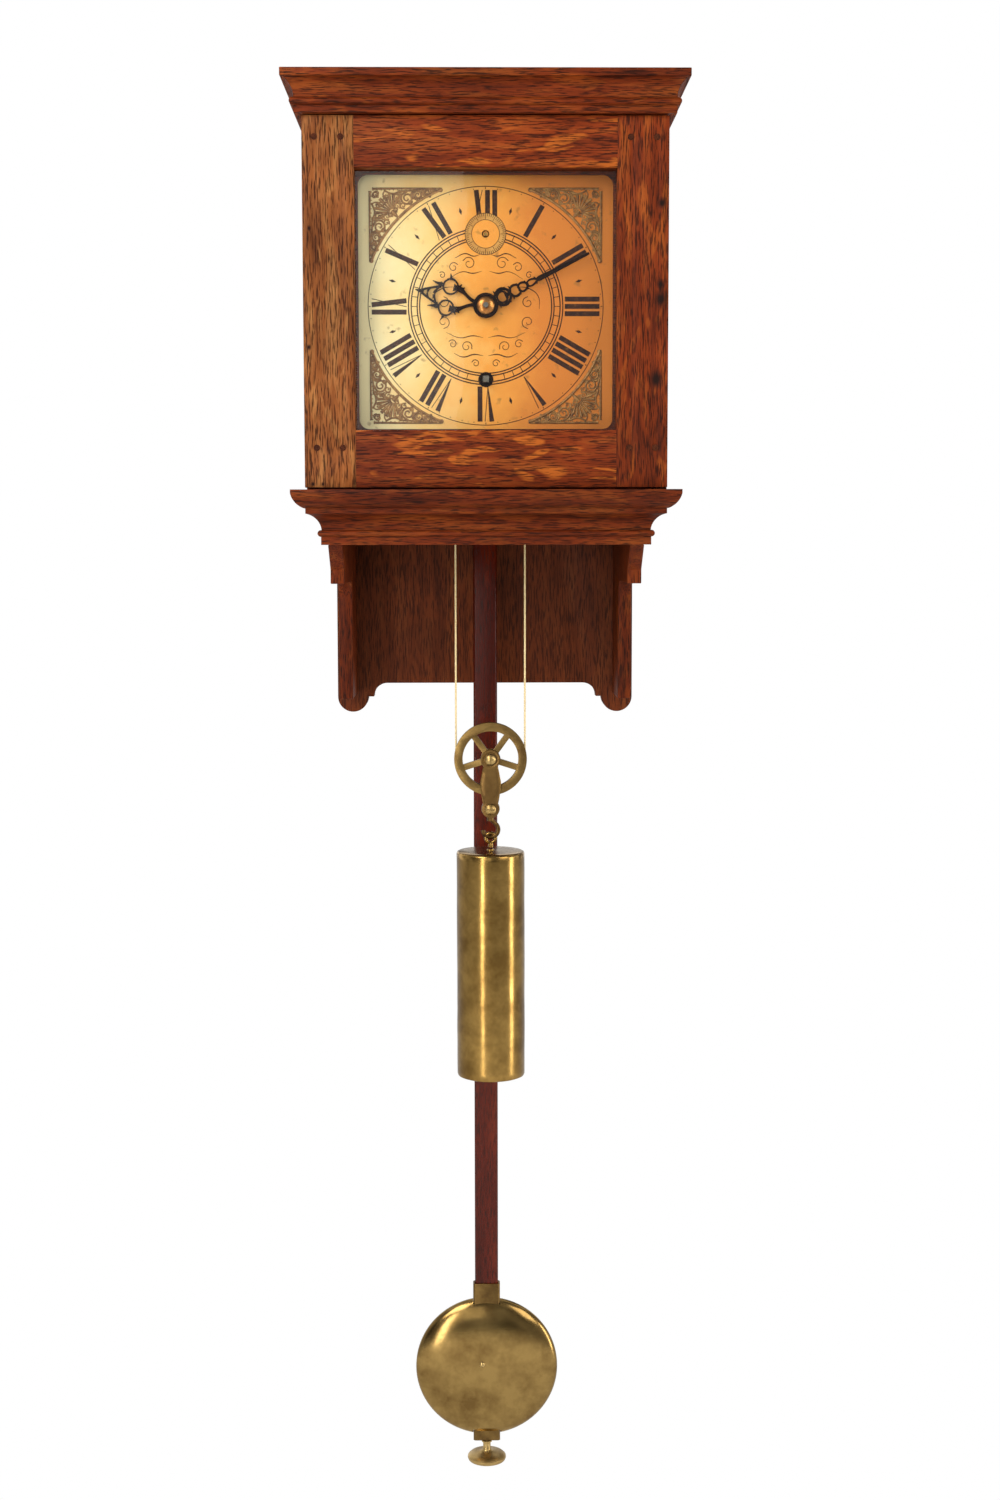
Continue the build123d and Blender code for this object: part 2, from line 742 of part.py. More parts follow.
# Seatboard on two cheeks, with holes for the two falls of the line
cheek_top_z = seat_z - seat_thickness
with BuildPart() as seatboard_cheeks:
    with BuildSketch(Plane.XY.offset(shelf_z)):
        with Locations((seat_width / 2 - cheek_width / 2, -(seat_back_depth + seat_front_depth) / 2)):
            Rectangle(cheek_width, seat_front_depth - seat_back_depth)
    extrude(amount=cheek_top_z - shelf_z)
    mirror(about=Plane.YZ)
write(seatboard_cheeks.part, "seatboard_cheeks")

pillar_x = plate_width / 2 - pillar_inset
pillar_foot_z = seat_z + pillar_inset
pillar_crown_z = dial_z + plate_top - pillar_inset
bolt_x = pillar_x - pillar_radius - bolt_radius - bolt_gap
bolt_depth = line_depth
with BuildPart() as seatboard:
    with BuildSketch(Plane.XY.offset(seat_z)):
        with Locations((0, -(seat_back_depth + seat_front_depth) / 2)):
            Rectangle(seat_width, seat_front_depth - seat_back_depth)
        with Locations((line_left_x, -line_depth), (line_right_x, -line_depth)):
            Circle(line_hole_radius, mode=Mode.SUBTRACT)
        with Locations((-bolt_x, -bolt_depth), (bolt_x, -bolt_depth)):
            Circle(bolt_radius, mode=Mode.SUBTRACT)
    extrude(amount=-seat_thickness)
write(seatboard.part, "seatboard")

# Bolts that hook over the lower pillars and draw the movement down to the seatboard
claw_foot_z = pillar_foot_z + pillar_radius
with BuildPart() as seatboard_bolts:
    with BuildSketch(Plane.XY.offset(cheek_top_z - bolt_nut)):
        with Locations((bolt_x, -bolt_depth)):
            Circle(bolt_radius)
    extrude(amount=claw_foot_z + bolt_nut - cheek_top_z + bolt_claw)
    with BuildSketch(Plane.XY.offset(claw_foot_z)):
        with Locations(((bolt_x + pillar_x) / 2 + bolt_claw / 2, -bolt_depth)):
            Rectangle(pillar_x - bolt_x + 2 * bolt_claw, 2 * bolt_radius)
    extrude(amount=bolt_claw)
    with BuildSketch(Plane.XY.offset(cheek_top_z)):
        with Locations((bolt_x, -bolt_depth)):
            Rectangle(4 * bolt_radius, 4 * bolt_radius)
    extrude(amount=-bolt_nut)
    mirror(about=Plane.YZ)
write(seatboard_bolts.part, "seatboard_bolts")

# Movement plates and pillars
plate_foot_z = seat_z
plate_crown_z = dial_z + plate_top
pillar_places = [
    (side * pillar_x, z) for side in (-1, 1) for z in (pillar_foot_z, pillar_crown_z)
]
pivot_holes = {
    (0, winding_z): barrel_pivot_radius,
    (0, dial_z): arbor_radius,
    (third_x, third_z): fine_pivot_radius,
    (0, seconds_z): fine_pivot_radius,
}


def plate_blank(depth):
    with BuildSketch(facing(0, (plate_foot_z + plate_crown_z) / 2, depth)) as face:
        Rectangle(plate_width, plate_crown_z - plate_foot_z)
    return face.sketch


with BuildPart() as front_plate:
    extrude(plate_blank(front_plate_depth), amount=plate_thickness)
    for (x, z), radius in pivot_holes.items():
        extrude(disc(x, z, front_plate_depth, radius + running_clearance), amount=plate_thickness,
                mode=Mode.SUBTRACT)
    extrude(disc(0, swing_z, front_plate_depth, fine_pivot_radius + running_clearance),
            amount=plate_thickness, mode=Mode.SUBTRACT)
    for x, z in pillar_places:
        extrude(disc(x, z, front_plate_depth, pillar_radius / 2), amount=plate_thickness,
                mode=Mode.SUBTRACT)
    extrude(disc(-motion_reach, dial_z, front_plate_face, stud_radius), amount=stud_length)
write(front_plate.part, "front_plate")

with BuildPart() as back_plate:
    extrude(plate_blank(back_plate_depth), amount=plate_thickness)
    for (x, z), radius in pivot_holes.items():
        bore = fine_pivot_radius if z == dial_z else radius
        extrude(disc(x, z, back_plate_depth, bore + running_clearance), amount=plate_thickness,
                mode=Mode.SUBTRACT)
    extrude(disc(0, swing_z, back_plate_depth, crutch_hole_radius), amount=plate_thickness,
            mode=Mode.SUBTRACT)
    for x, z in pillar_places:
        extrude(disc(x, z, back_plate_depth, pillar_radius / 2), amount=plate_thickness,
                mode=Mode.SUBTRACT)
write(back_plate.part, "back_plate")

with BuildPart() as plate_pillars:
    for x, z in pillar_places:
        extrude(disc(x, z, back_plate_depth + plate_thickness, pillar_radius), amount=plate_spacing)
        extrude(disc(x, z, back_plate_depth - pillar_nut, pillar_radius / 2),
                amount=plate_spacing + 2 * (plate_thickness + pillar_nut))
        for depth in (back_plate_depth - pillar_nut, front_plate_face):
            extrude(disc(x, z, depth, pillar_radius * 0.9), amount=pillar_nut)
write(plate_pillars.part, "plate_pillars")

# Back cock: carries the crutch arbor and, in its chops, the pendulum's spring
chop_foot_z = swing_z + spring_gap
cock_half = 28.0
cock_thickness = 4.0
cock_foot_width = 10.0
cock_drop = 7.0
with BuildPart() as back_cock:
    with BuildSketch(facing(0, swing_z + (cock_rise - cock_drop) / 2, cock_depth)):
        Rectangle(2 * cock_half, cock_rise + cock_drop)
    extrude(amount=cock_thickness)
    for side in (-1, 1):
        extrude(block_face(side * (cock_half - cock_foot_width / 2), swing_z
                           + (cock_rise - cock_drop) / 2, cock_depth + cock_thickness,
                           cock_foot_width, cock_rise + cock_drop),
                amount=back_plate_depth - cock_depth - cock_thickness)
    extrude(block_face(0, (chop_foot_z + swing_z + cock_rise) / 2, pendulum_depth
                       - spring_width / 2 - chop_margin, chop_width, swing_z + cock_rise - chop_foot_z),
            amount=cock_depth - pendulum_depth + spring_width / 2 + chop_margin)
    extrude(disc(0, swing_z, cock_depth, fine_pivot_radius + running_clearance),
            amount=cock_thickness, mode=Mode.SUBTRACT)
write(back_cock.part, "back_cock")

# Barrel and its arbor; the arbor carries the ratchet and the winding square
great_depth = back_plate_depth + plate_thickness + great_gap
ratchet_depth = great_depth + great_wheel_thickness + ratchet_gap
barrel_depth = line_depth - barrel_length / 2
with BuildPart() as barrel:
    extrude(disc(0, winding_z, barrel_depth, barrel_radius), amount=barrel_length)
    for depth in (barrel_depth, barrel_depth + barrel_length - barrel_flange):
        extrude(disc(0, winding_z, depth, barrel_radius + barrel_flange), amount=barrel_flange)
    extrude(disc(0, winding_z, barrel_depth, barrel_arbor_radius), amount=barrel_length,
            mode=Mode.SUBTRACT)
write(barrel.part, "barrel")

plate_inner = back_plate_depth + plate_thickness
square_depth = dial_depth + square_proud
with BuildPart() as barrel_arbor:
    extrude(disc(0, winding_z, plate_inner + arbor_play, barrel_arbor_radius),
            amount=plate_spacing - 2 * arbor_play)
    extrude(disc(0, winding_z, back_plate_depth, barrel_pivot_radius),
            amount=front_plate_face + arbor_nose - back_plate_depth)
    extrude(block_face(0, winding_z, front_plate_face + arbor_nose, winding_square, winding_square),
            amount=square_depth - front_plate_face - arbor_nose)
    with BuildSketch(facing(0, winding_z, ratchet_depth)):
        with BuildLine():
            Polyline(
                *[
                    (radius * math.cos(angle), radius * math.sin(angle))
                    for tooth in range(ratchet_teeth)
                    for radius, angle in (
                        (ratchet_radius - ratchet_tooth, math.tau * tooth / ratchet_teeth),
                        (ratchet_radius, math.tau * (tooth + 0.1) / ratchet_teeth),
                    )
                ],
                close=True,
            )
        make_face()
    extrude(amount=ratchet_thickness)
write(barrel_arbor.part, "barrel_arbor")

# Going train. A tooth of each wheel points at the pinion it drives, where the pinion has a gap
third_angle = math.degrees(math.atan2(third_rise, third_x))
escape_angle = math.degrees(math.atan2(seconds_rise - third_rise, -third_x))
click_x = ratchet_radius + click_radius + 0.5
with BuildPart() as great_wheel:
    extrude(toothed(0, winding_z, great_depth, great_teeth, great_module, wheel_form, 90,
                    barrel_arbor_radius + running_clearance, spokes=4,
                    hub=click_x + click_radius, rim=7),
            amount=great_wheel_thickness)
write(great_wheel.part, "great_wheel")

with BuildPart() as click_work:
    click_face_depth = great_depth + great_wheel_thickness
    with BuildSketch(facing(0, winding_z, click_face_depth)):
        with Locations((click_x * math.cos(click_angle), click_x * math.sin(click_angle))):
            Circle(click_radius)
    extrude(amount=ratchet_thickness)
write(click_work.part, "click_work")

centre_depth = plate_inner + plate_spacing - centre_setback
with BuildPart() as centre_wheel:
    extrude(toothed(0, dial_z, centre_depth, centre_teeth, centre_module, wheel_form, third_angle,
                    arbor_radius, spokes=5, hub=6, rim=3.5), amount=wheel_thickness)
    extrude(toothed(0, dial_z, great_depth - pinion_margin, centre_pinion_teeth, great_module, pinion_form,
                    -90 + 180 / centre_pinion_teeth, 0), amount=pinion_length)
    extrude(disc(0, dial_z, back_plate_depth, fine_pivot_radius),
            amount=plate_thickness + arbor_play)
    extrude(disc(0, dial_z, plate_inner + arbor_play, arbor_radius),
            amount=dial_depth + centre_proud - plate_inner - arbor_play)
write(centre_wheel.part, "centre_wheel")

third_depth = plate_inner + plate_spacing - third_setback
with BuildPart() as third_wheel:
    extrude(toothed(third_x, third_z, third_depth, third_teeth, third_module, wheel_form,
                    escape_angle, arbor_radius, spokes=5, hub=5, rim=3), amount=wheel_thickness)
    extrude(toothed(third_x, third_z, centre_depth - pinion_margin, third_pinion_teeth, centre_module,
                    pinion_form, third_angle + 180 + 180 / third_pinion_teeth, 0),
            amount=pinion_length)
    extrude(disc(third_x, third_z, plate_inner + arbor_play, arbor_radius),
            amount=plate_spacing - 2 * arbor_play)
    extrude(disc(third_x, third_z, back_plate_depth, fine_pivot_radius),
            amount=plate_spacing + 2 * plate_thickness)
write(third_wheel.part, "third_wheel")

escape_depth = third_depth + escape_advance
with BuildPart() as escape_wheel:
    with BuildSketch(facing(0, seconds_z, escape_depth)):
        with BuildLine():
            Polyline(
                *[
                    (radius * math.cos(angle), radius * math.sin(angle))
                    for tooth in range(escape_teeth)
                    for radius, angle in (
                        (escape_radius - escape_tooth, math.tau * (tooth - 0.34) / escape_teeth),
                        (escape_radius, math.tau * (tooth - 0.03) / escape_teeth),
                        (escape_radius, math.tau * (tooth + 0.03) / escape_teeth),
                        (escape_radius - escape_tooth, math.tau * (tooth + 0.12) / escape_teeth),
                    )
                ],
                close=True,
            )
        make_face()
        Circle(escape_radius - escape_tooth - escape_rim, mode=Mode.SUBTRACT)
        Circle(escape_hub)
        escape_spoke = escape_radius - escape_tooth - escape_rim / 2
        with PolarLocations(0, escape_spokes):
            with Locations((escape_spoke / 2, 0)):
                Rectangle(escape_spoke, escape_spoke_width)
    extrude(amount=escape_thickness)
    extrude(toothed(0, seconds_z, third_depth - pinion_margin, escape_pinion_teeth, third_module, pinion_form,
                    escape_angle + 180 + 180 / escape_pinion_teeth, 0), amount=pinion_length)
    extrude(disc(0, seconds_z, plate_inner + arbor_play, thin_arbor_radius),
            amount=plate_spacing - 2 * arbor_play)
    extrude(disc(0, seconds_z, back_plate_depth, fine_pivot_radius),
            amount=dial_depth - back_plate_depth)
write(escape_wheel.part, "escape_wheel")

# Motion work behind the dial
motion_depth = front_plate_face + motion_gap
hour_depth = motion_depth + hour_advance
hour_hand_depth = dial_depth + hour_hand_lift
minute_hand_depth = hour_hand_depth + hand_rise
collet_depth = minute_hand_depth + hand_thickness
with BuildPart() as cannon_wheel:
    extrude(toothed(0, dial_z, motion_depth, cannon_teeth, cannon_module, wheel_form, 180,
                    arbor_radius), amount=wheel_thickness)
    extrude(disc(0, dial_z, motion_depth, cannon_pipe_radius), amount=collet_depth - motion_depth)
    extrude(disc(0, dial_z, motion_depth, arbor_radius), amount=collet_depth - motion_depth,
            mode=Mode.SUBTRACT)
write(cannon_wheel.part, "cannon_wheel")

with BuildPart() as minute_wheel:
    extrude(toothed(-motion_reach, dial_z, motion_depth, cannon_teeth, cannon_module, wheel_form,
                    180 / cannon_teeth, 0), amount=wheel_thickness)
    extrude(toothed(-motion_reach, dial_z, motion_depth, minute_pinion_teeth, hour_module,
                    pinion_form, 0, 0), amount=stud_length - stud_end)
    extrude(disc(-motion_reach, dial_z, motion_depth, stud_radius + running_clearance),
            amount=stud_length, mode=Mode.SUBTRACT)
write(minute_wheel.part, "minute_wheel")

hour_bore = cannon_pipe_radius + running_clearance
with BuildPart() as hour_wheel:
    extrude(toothed(0, dial_z, hour_depth, hour_teeth, hour_module, wheel_form,
                    180 + 180 / hour_teeth, hour_bore, spokes=4, hub=8, rim=4),
            amount=wheel_thickness)
    extrude(disc(0, dial_z, hour_depth, hour_pipe_radius), amount=hour_hand_depth
            + hand_thickness - hour_depth)
    extrude(disc(0, dial_z, hour_depth, hour_bore), amount=hour_hand_depth + hand_thickness
            - hour_depth, mode=Mode.SUBTRACT)
write(hour_wheel.part, "hour_wheel")

# Pallets over the escape wheel, on one arbor with the crutch behind the back plate
pallet_depth = escape_depth + escape_thickness / 2 - pallet_thickness / 2
nib_angle = 180 * pallet_span_teeth / escape_teeth
with BuildPart() as pallets:
    for side in (-1, 1):
        nib_x = side * math.sin(math.radians(nib_angle))
        nib_z = math.cos(math.radians(nib_angle))
        near, far = escape_radius + escape_gap, escape_radius + escape_gap + nib_length
        nib_sketch = facing(0, seconds_z, pallet_depth)
        with BuildSketch(nib_sketch):
            with BuildLine():
                Polyline((nib_x * near, nib_z * near), (nib_x * far, nib_z * far),
                         (0, pallet_rise))
            trace(line_width=nib_width)
        extrude(amount=pallet_thickness)
    extrude(disc(0, swing_z, pallet_depth, 2.2 * nib_width / 2), amount=pallet_thickness)
    extrude(disc(0, swing_z, cock_depth + cock_thickness + arbor_play, thin_arbor_radius),
            amount=front_plate_depth - cock_depth - cock_thickness - 2 * arbor_play)
    extrude(disc(0, swing_z, cock_depth, fine_pivot_radius),
            amount=front_plate_face - cock_depth)
write(pallets.part, "pallets")

crutch_depth = cock_depth + cock_thickness + crutch_gap
rod_front = pendulum_depth + rod_thickness / 2
fork_inner = rod_width / 2 + crutch_fork_gap
fork_z = swing_z - crutch_length
with BuildPart() as crutch:
    extrude(disc(0, swing_z, crutch_depth, crutch_hub_radius), amount=crutch_thickness)
    extrude(block_face(0, swing_z - crutch_length / 2, crutch_depth, crutch_width,
                       crutch_length + crutch_width), amount=crutch_thickness)
    extrude(disc(0, swing_z, crutch_depth, thin_arbor_radius), amount=crutch_thickness,
            mode=Mode.SUBTRACT)
    extrude(block_face(0, fork_z, rod_front + crutch_fork_gap, crutch_width, crutch_width),
            amount=crutch_depth + crutch_thickness - rod_front - crutch_fork_gap)
    extrude(block_face(0, fork_z, rod_front + crutch_fork_gap, 2 * (fork_inner + crutch_thickness),
                       crutch_width), amount=crutch_thickness)
    for side in (-1, 1):
        extrude(block_face(side * (fork_inner + crutch_thickness / 2), fork_z,
                           pendulum_depth - rod_thickness / 2, crutch_thickness, crutch_width),
                amount=rod_thickness + crutch_fork_gap)
write(crutch.part, "crutch")

# Dial plate on four feet that stand on the front plate
dial_foot_places = [(x, dial_z + z) for x in (-dial_foot_x, dial_foot_x)
                    for z in (-dial_foot_z, dial_foot_z)]
dial_back = dial_depth - dial_thickness
with BuildPart() as dial_plate:
    extrude(block_face(0, dial_z, dial_back, dial_side, dial_side), amount=dial_thickness)
    for x, z in dial_foot_places:
        extrude(disc(x, z, front_plate_face, dial_foot_radius), amount=dial_back - front_plate_face)
    for z, radius in (
        (winding_z, winding_hole_radius),
        (seconds_z, seconds_hole_radius),
        (dial_z, hour_pipe_radius + dial_hole_gap),
    ):
        extrude(disc(0, z, dial_back, radius), amount=dial_thickness, mode=Mode.SUBTRACT)
write(dial_plate.part, "dial_plate")

# Corner ornaments: a shell-lobed corner and two pointed arms that follow the chapter circle
spandrel_inner = dial_circle_radius + spandrel_circle_gap
with BuildPart() as spandrels:
    with BuildSketch(facing(0, dial_z, dial_depth)):
        corner = spandrel_half - spandrel_reach / 2
        for x in (-corner, corner):
            for z in (-corner, corner):
                with Locations((x, z)):
                    Rectangle(spandrel_reach, spandrel_reach)
        Circle(spandrel_inner, mode=Mode.SUBTRACT)
        for turn in range(4):
            for along, across, radius in spandrel_piercings:
                for u, v in ((along, across), (across, along)):
                    place = Vector(spandrel_half - u, spandrel_half - v, 0).rotate(Axis.Z, 90 * turn)
                    with Locations((place.X, place.Y)):
                        Circle(radius, mode=Mode.SUBTRACT)
    extrude(amount=spandrel_thickness)
write(spandrels.part, "spandrels")


def hand_plane(depth, clock):
    """Plane whose x axis points where a hand points, given clockwise degrees from twelve."""
    angle = math.radians(clock)
    return Plane(origin=(0, -depth, dial_z), x_dir=(math.sin(angle), 0, math.cos(angle)),
                 z_dir=(0, -1, 0))


# Hour hand: two pierced loops side by side under a pierced leaf point
leaf_foot = hour_loop_at + hour_loop_radius * 0.3
leaf_half = hour_loop_offset + hour_loop_radius * 0.8
leaf_waist = hour_loop_at + hour_leaf_waist
leaf_outer = [(leaf_foot, leaf_half), (leaf_waist, hour_leaf_waist_half), (hour_hand_length, 0)]
leaf_inner = [
    (leaf_foot + hour_leaf_rim, leaf_half - 2.2 * hour_leaf_rim),
    (leaf_waist - hour_leaf_rim / 2, hour_leaf_waist_half - hour_leaf_rim),
    (hour_hand_length - hour_leaf_point, 0),
]
with BuildPart() as hour_hand:
    with BuildSketch(hand_plane(hour_hand_depth, hour_hand_clock)):
        Circle(hour_hub_radius)
        with Locations((hour_loop_at / 2, 0)):
            Rectangle(hour_loop_at, 2 * hour_neck_half)
        for outline, mode in ((leaf_outer, Mode.ADD), (leaf_inner, Mode.SUBTRACT)):
            with BuildLine():
                foot, waist, tip = outline
                ThreePointArc(foot, waist, tip)
                ThreePointArc(*[(u, -v) for u, v in outline])
                Line(foot, (foot[0], -foot[1]))
            make_face(mode=mode)
        with Locations((hour_loop_at, -hour_loop_offset), (hour_loop_at, hour_loop_offset)):
            Circle(hour_loop_radius)
            Circle(hour_loop_hole, mode=Mode.SUBTRACT)
            Circle(hour_disc_radius)
            with Locations((-hour_loop_radius / 2, 0)):
                Rectangle(hour_loop_radius, hand_bar)
        Circle(hour_pipe_radius, mode=Mode.SUBTRACT)
    extrude(amount=hand_thickness)
write(hour_hand.part, "hour_hand")

# Minute hand: one pierced loop near the boss, then a long tapered blade
blade_foot = minute_loop_at + minute_loop_radius - blade_overlap
with BuildPart() as minute_hand:
    with BuildSketch(hand_plane(minute_hand_depth, minute_hand_clock)):
        Circle(minute_hub_radius)
        with Locations((minute_loop_at / 2, 0)):
            Rectangle(minute_loop_at, 2 * hand_bar)
        with Locations((minute_loop_at, 0)):
            Circle(minute_loop_radius)
            Circle(minute_loop_hole, mode=Mode.SUBTRACT)
        with Locations((minute_scroll_at, -minute_scroll_radius), (minute_scroll_at,
                                                                   minute_scroll_radius)):
            Circle(minute_scroll_radius)
            Circle(minute_scroll_radius - hand_bar, mode=Mode.SUBTRACT)
        with BuildLine():
            Polyline(
                (blade_foot, -hand_bar),
                (blade_foot + blade_swell, -blade_half),
                (minute_hand_length, -blade_tip_half),
                (minute_hand_length, blade_tip_half),
                (blade_foot + blade_swell, blade_half),
                (blade_foot, hand_bar),
                close=True,
            )
        make_face()
        Circle(cannon_pipe_radius, mode=Mode.SUBTRACT)
    extrude(amount=hand_thickness)
write(minute_hand.part, "minute_hand")

# Domed collet over the hand, on the end of the centre arbor
with BuildPart() as hand_collet:
    with BuildSketch(Plane(origin=(0, -collet_depth, dial_z), x_dir=(1, 0, 0), z_dir=(0, 0, 1))):
        with BuildLine():
            Polyline((arbor_radius, 0), (collet_radius, 0), (collet_radius, -collet_edge))
            ThreePointArc(
                (collet_radius, -collet_edge),
                (collet_radius * 0.6, -collet_height * 0.86),
                (arbor_radius, -collet_height),
            )
            Line((arbor_radius, -collet_height), (arbor_radius, 0))
        make_face()
    revolve(axis=Axis(origin=(0, 0, dial_z), direction=(0, 1, 0)))
write(hand_collet.part, "hand_collet")

# The line: two hanging falls and the half turn round the pulley
seat_top_drop = seat_z - pulley_z
with BuildPart() as line_fall_barrel:
    with BuildSketch(Plane.XY.offset(pulley_z)):
        with Locations((line_left_x, -line_depth)):
            Circle(line_radius)
    extrude(amount=winding_z - pulley_z)
write(line_fall_barrel.part, "line_fall_barrel")

with BuildPart() as line_fall_fixed:
    with BuildSketch(Plane.XY.offset(pulley_z)):
        with Locations((line_right_x, -line_depth)):
            Circle(line_radius)
    extrude(amount=seat_top_drop)
write(line_fall_fixed.part, "line_fall_fixed")

with BuildPart() as line_wrap:
    with BuildSketch(Plane.XY.offset(pulley_z)):
        with Locations((line_left_x, -line_depth)):
            Circle(line_radius)
    revolve(axis=Axis(origin=(pulley_x, 0, pulley_z), direction=(0, 1, 0)), revolution_arc=-180)
write(line_wrap.part, "line_wrap")

# Pulley wheel with five spokes and a round groove
groove_floor = line_ring - line_radius - line_gap
pulley_depth = line_depth - pulley_width / 2
with BuildPart() as pulley_wheel:
    extrude(disc(pulley_x, pulley_z, pulley_depth, pulley_radius), amount=pulley_width)
    with BuildSketch(Plane(origin=(pulley_x, -line_depth, pulley_z), x_dir=(1, 0, 0),
                           z_dir=(0, 0, 1))):
        with BuildLine():
            groove_mouth = pulley_width / 2 - groove_lip
            Polyline(
                (groove_floor, -line_radius),
                (pulley_radius, -groove_mouth),
                (pulley_radius + groove_lip, -groove_mouth),
                (pulley_radius + groove_lip, groove_mouth),
                (pulley_radius, groove_mouth),
                (groove_floor, line_radius),
                close=True,
            )
        make_face()
    revolve(axis=Axis(origin=(pulley_x, 0, pulley_z), direction=(0, 1, 0)), mode=Mode.SUBTRACT)
    with BuildSketch(facing(pulley_x, pulley_z, pulley_depth)):
        Circle(pulley_radius - pulley_rim)
        Circle(pulley_hub_radius, mode=Mode.SUBTRACT)
        with PolarLocations(0, pulley_spokes, start_angle=spoke_start):
            with Locations(((pulley_radius - pulley_rim + pulley_hub_radius) / 2, 0)):
                Rectangle(pulley_radius - pulley_rim, spoke_width, mode=Mode.SUBTRACT)
    extrude(amount=pulley_width, mode=Mode.SUBTRACT)
    for depth in (pulley_depth, pulley_depth + pulley_width - spoke_recess):
        with BuildSketch(facing(pulley_x, pulley_z, depth)):
            Circle(pulley_radius - pulley_rim)
            Circle(pulley_hub_radius, mode=Mode.SUBTRACT)
        extrude(amount=spoke_recess, mode=Mode.SUBTRACT)
    extrude(disc(pulley_x, pulley_z, pulley_depth, pulley_axle_radius + running_clearance),
            amount=pulley_width, mode=Mode.SUBTRACT)
write(pulley_wheel.part, "pulley_wheel")

# Stirrup: a strap on each side of the wheel, joined by the boss below it
boss_z = pulley_z - boss_drop
hook_top_z = boss_z - boss_radius + hook_sink
strap_back = pulley_depth - strap_gap - strap_thickness
stirrup_span = pulley_width + 2 * (strap_gap + strap_thickness)
with BuildPart() as pulley_stirrup:
    for depth in (strap_back, strap_back + stirrup_span - strap_thickness):
        with BuildSketch(facing(pulley_x, pulley_z, depth)):
            Circle(strap_width / 2)
            with BuildLine():
                neck = (strap_neck / 2, -strap_width / 2)
                belly = (strap_width / 2, (-strap_width / 2 - boss_drop + boss_radius) / 2)
                foot = (strap_foot / 2, boss_radius / 2 - boss_drop)
                ThreePointArc(neck, belly, foot)
                ThreePointArc(*[(-x, z) for x, z in (neck, belly, foot)])
                Line(neck, (-neck[0], neck[1]))
                Line(foot, (-foot[0], foot[1]))
            make_face()
            with BuildLine():
                Polyline(neck, (strap_neck / 2, 0), (-strap_neck / 2, 0), (-neck[0], neck[1]),
                         close=True)
            make_face()
            Circle(pulley_axle_radius, mode=Mode.SUBTRACT)
        extrude(amount=strap_thickness)
    extrude(disc(pulley_x, boss_z, strap_back, boss_radius), amount=stirrup_span)
    with BuildSketch(Plane.XY.offset(hook_top_z)):
        with Locations((pulley_x, -line_depth)):
            Circle(hook_collar_radius)
    extrude(amount=-boss_radius, mode=Mode.SUBTRACT)
write(pulley_stirrup.part, "pulley_stirrup")

with BuildPart() as pulley_axle:
    extrude(disc(pulley_x, pulley_z, strap_back - axle_proud, pulley_axle_radius),
            amount=stirrup_span + 2 * axle_proud)
    extrude(disc(pulley_x, pulley_z, strap_back + stirrup_span, axle_head_radius),
            amount=axle_proud)
    fillet(pulley_axle.faces().sort_by(Axis.Y)[0].edges(), axle_proud * 0.6)
write(pulley_axle.part, "pulley_axle")

# Hook under the boss, and the weight that hangs on it
bend_z = shelf_z - hook_bottom_drop + hook_bend_radius
hook_rise = hook_bend_radius * math.sqrt(2)
with BuildPart() as weight_hook:
    with BuildLine(facing(pulley_x, bend_z, line_depth)) as wire:
        CenterArc((0, 0), hook_bend_radius, -175, 220)
        Line(wire.line @ 1, (0, hook_rise))
    with BuildSketch(Plane(origin=wire.line @ 0, z_dir=wire.line % 0)):
        Circle(hook_wire_radius)
    sweep(path=wire.line, transition=Transition.ROUND)
    with BuildSketch(Plane.XY.offset(bend_z + hook_rise - hook_wire_radius)):
        with Locations((pulley_x, -line_depth)):
            Circle(hook_collar_radius)
    extrude(amount=hook_top_z - bend_z - hook_rise + hook_wire_radius)
write(weight_hook.part, "weight_hook")

weight_top_z = shelf_z - weight_top_drop
eye_z = bend_z - hook_bend_radius + hook_wire_radius + eye_wire_radius + eye_gap - eye_radius
with BuildPart() as weight_shell:
    with BuildSketch(Plane.XY.offset(weight_top_z - weight_length)):
        with Locations((pulley_x, -line_depth)):
            Circle(weight_radius)
    extrude(amount=weight_length)
    fillet(weight_shell.edges().group_by(Axis.Z)[-1] + weight_shell.edges().group_by(Axis.Z)[0],
           weight_end_round)
    with BuildSketch(Plane.XY.offset(weight_top_z - weight_length + weight_wall)):
        with Locations((pulley_x, -line_depth)):
            Circle(weight_radius - weight_wall)
    extrude(amount=weight_length - 2 * weight_wall, mode=Mode.SUBTRACT)
    with BuildSketch(Plane(origin=(pulley_x, -line_depth - eye_radius, eye_z), x_dir=(0, 1, 0),
                           z_dir=(0, 0, 1))):
        Circle(eye_wire_radius)
    revolve(axis=Axis(origin=(pulley_x, -line_depth, eye_z), direction=(1, 0, 0)))
    with BuildSketch(Plane.XY.offset(weight_top_z)):
        with Locations((pulley_x, -line_depth)):
            Circle(eye_stem_radius)
    extrude(amount=eye_z - eye_radius - weight_top_z)
write(weight_shell.part, "weight_shell")

with BuildPart() as weight_core:
    with BuildSketch(Plane.XY.offset(weight_top_z - weight_length + weight_wall)):
        with Locations((pulley_x, -line_depth)):
            Circle(weight_radius - weight_wall)
    extrude(amount=weight_length - 2 * weight_wall)
write(weight_core.part, "weight_core")

# Pendulum: spring, wooden rod, rating screw, and the bob on its sleeve with the nut below
rod_top_z = swing_z - rod_top_drop
with BuildPart() as suspension_spring:
    with BuildSketch(Plane.XY.offset(rod_top_z)):
        with Locations((0, -pendulum_depth)):
            Rectangle(spring_thickness, spring_width)
    extrude(amount=rod_top_drop)
    with BuildSketch(Plane.XY.offset(rod_top_z)):
        with Locations((0, -pendulum_depth)):
            Rectangle(clasp_width, rod_thickness)
    extrude(amount=clasp_height)
write(suspension_spring.part, "suspension_spring")

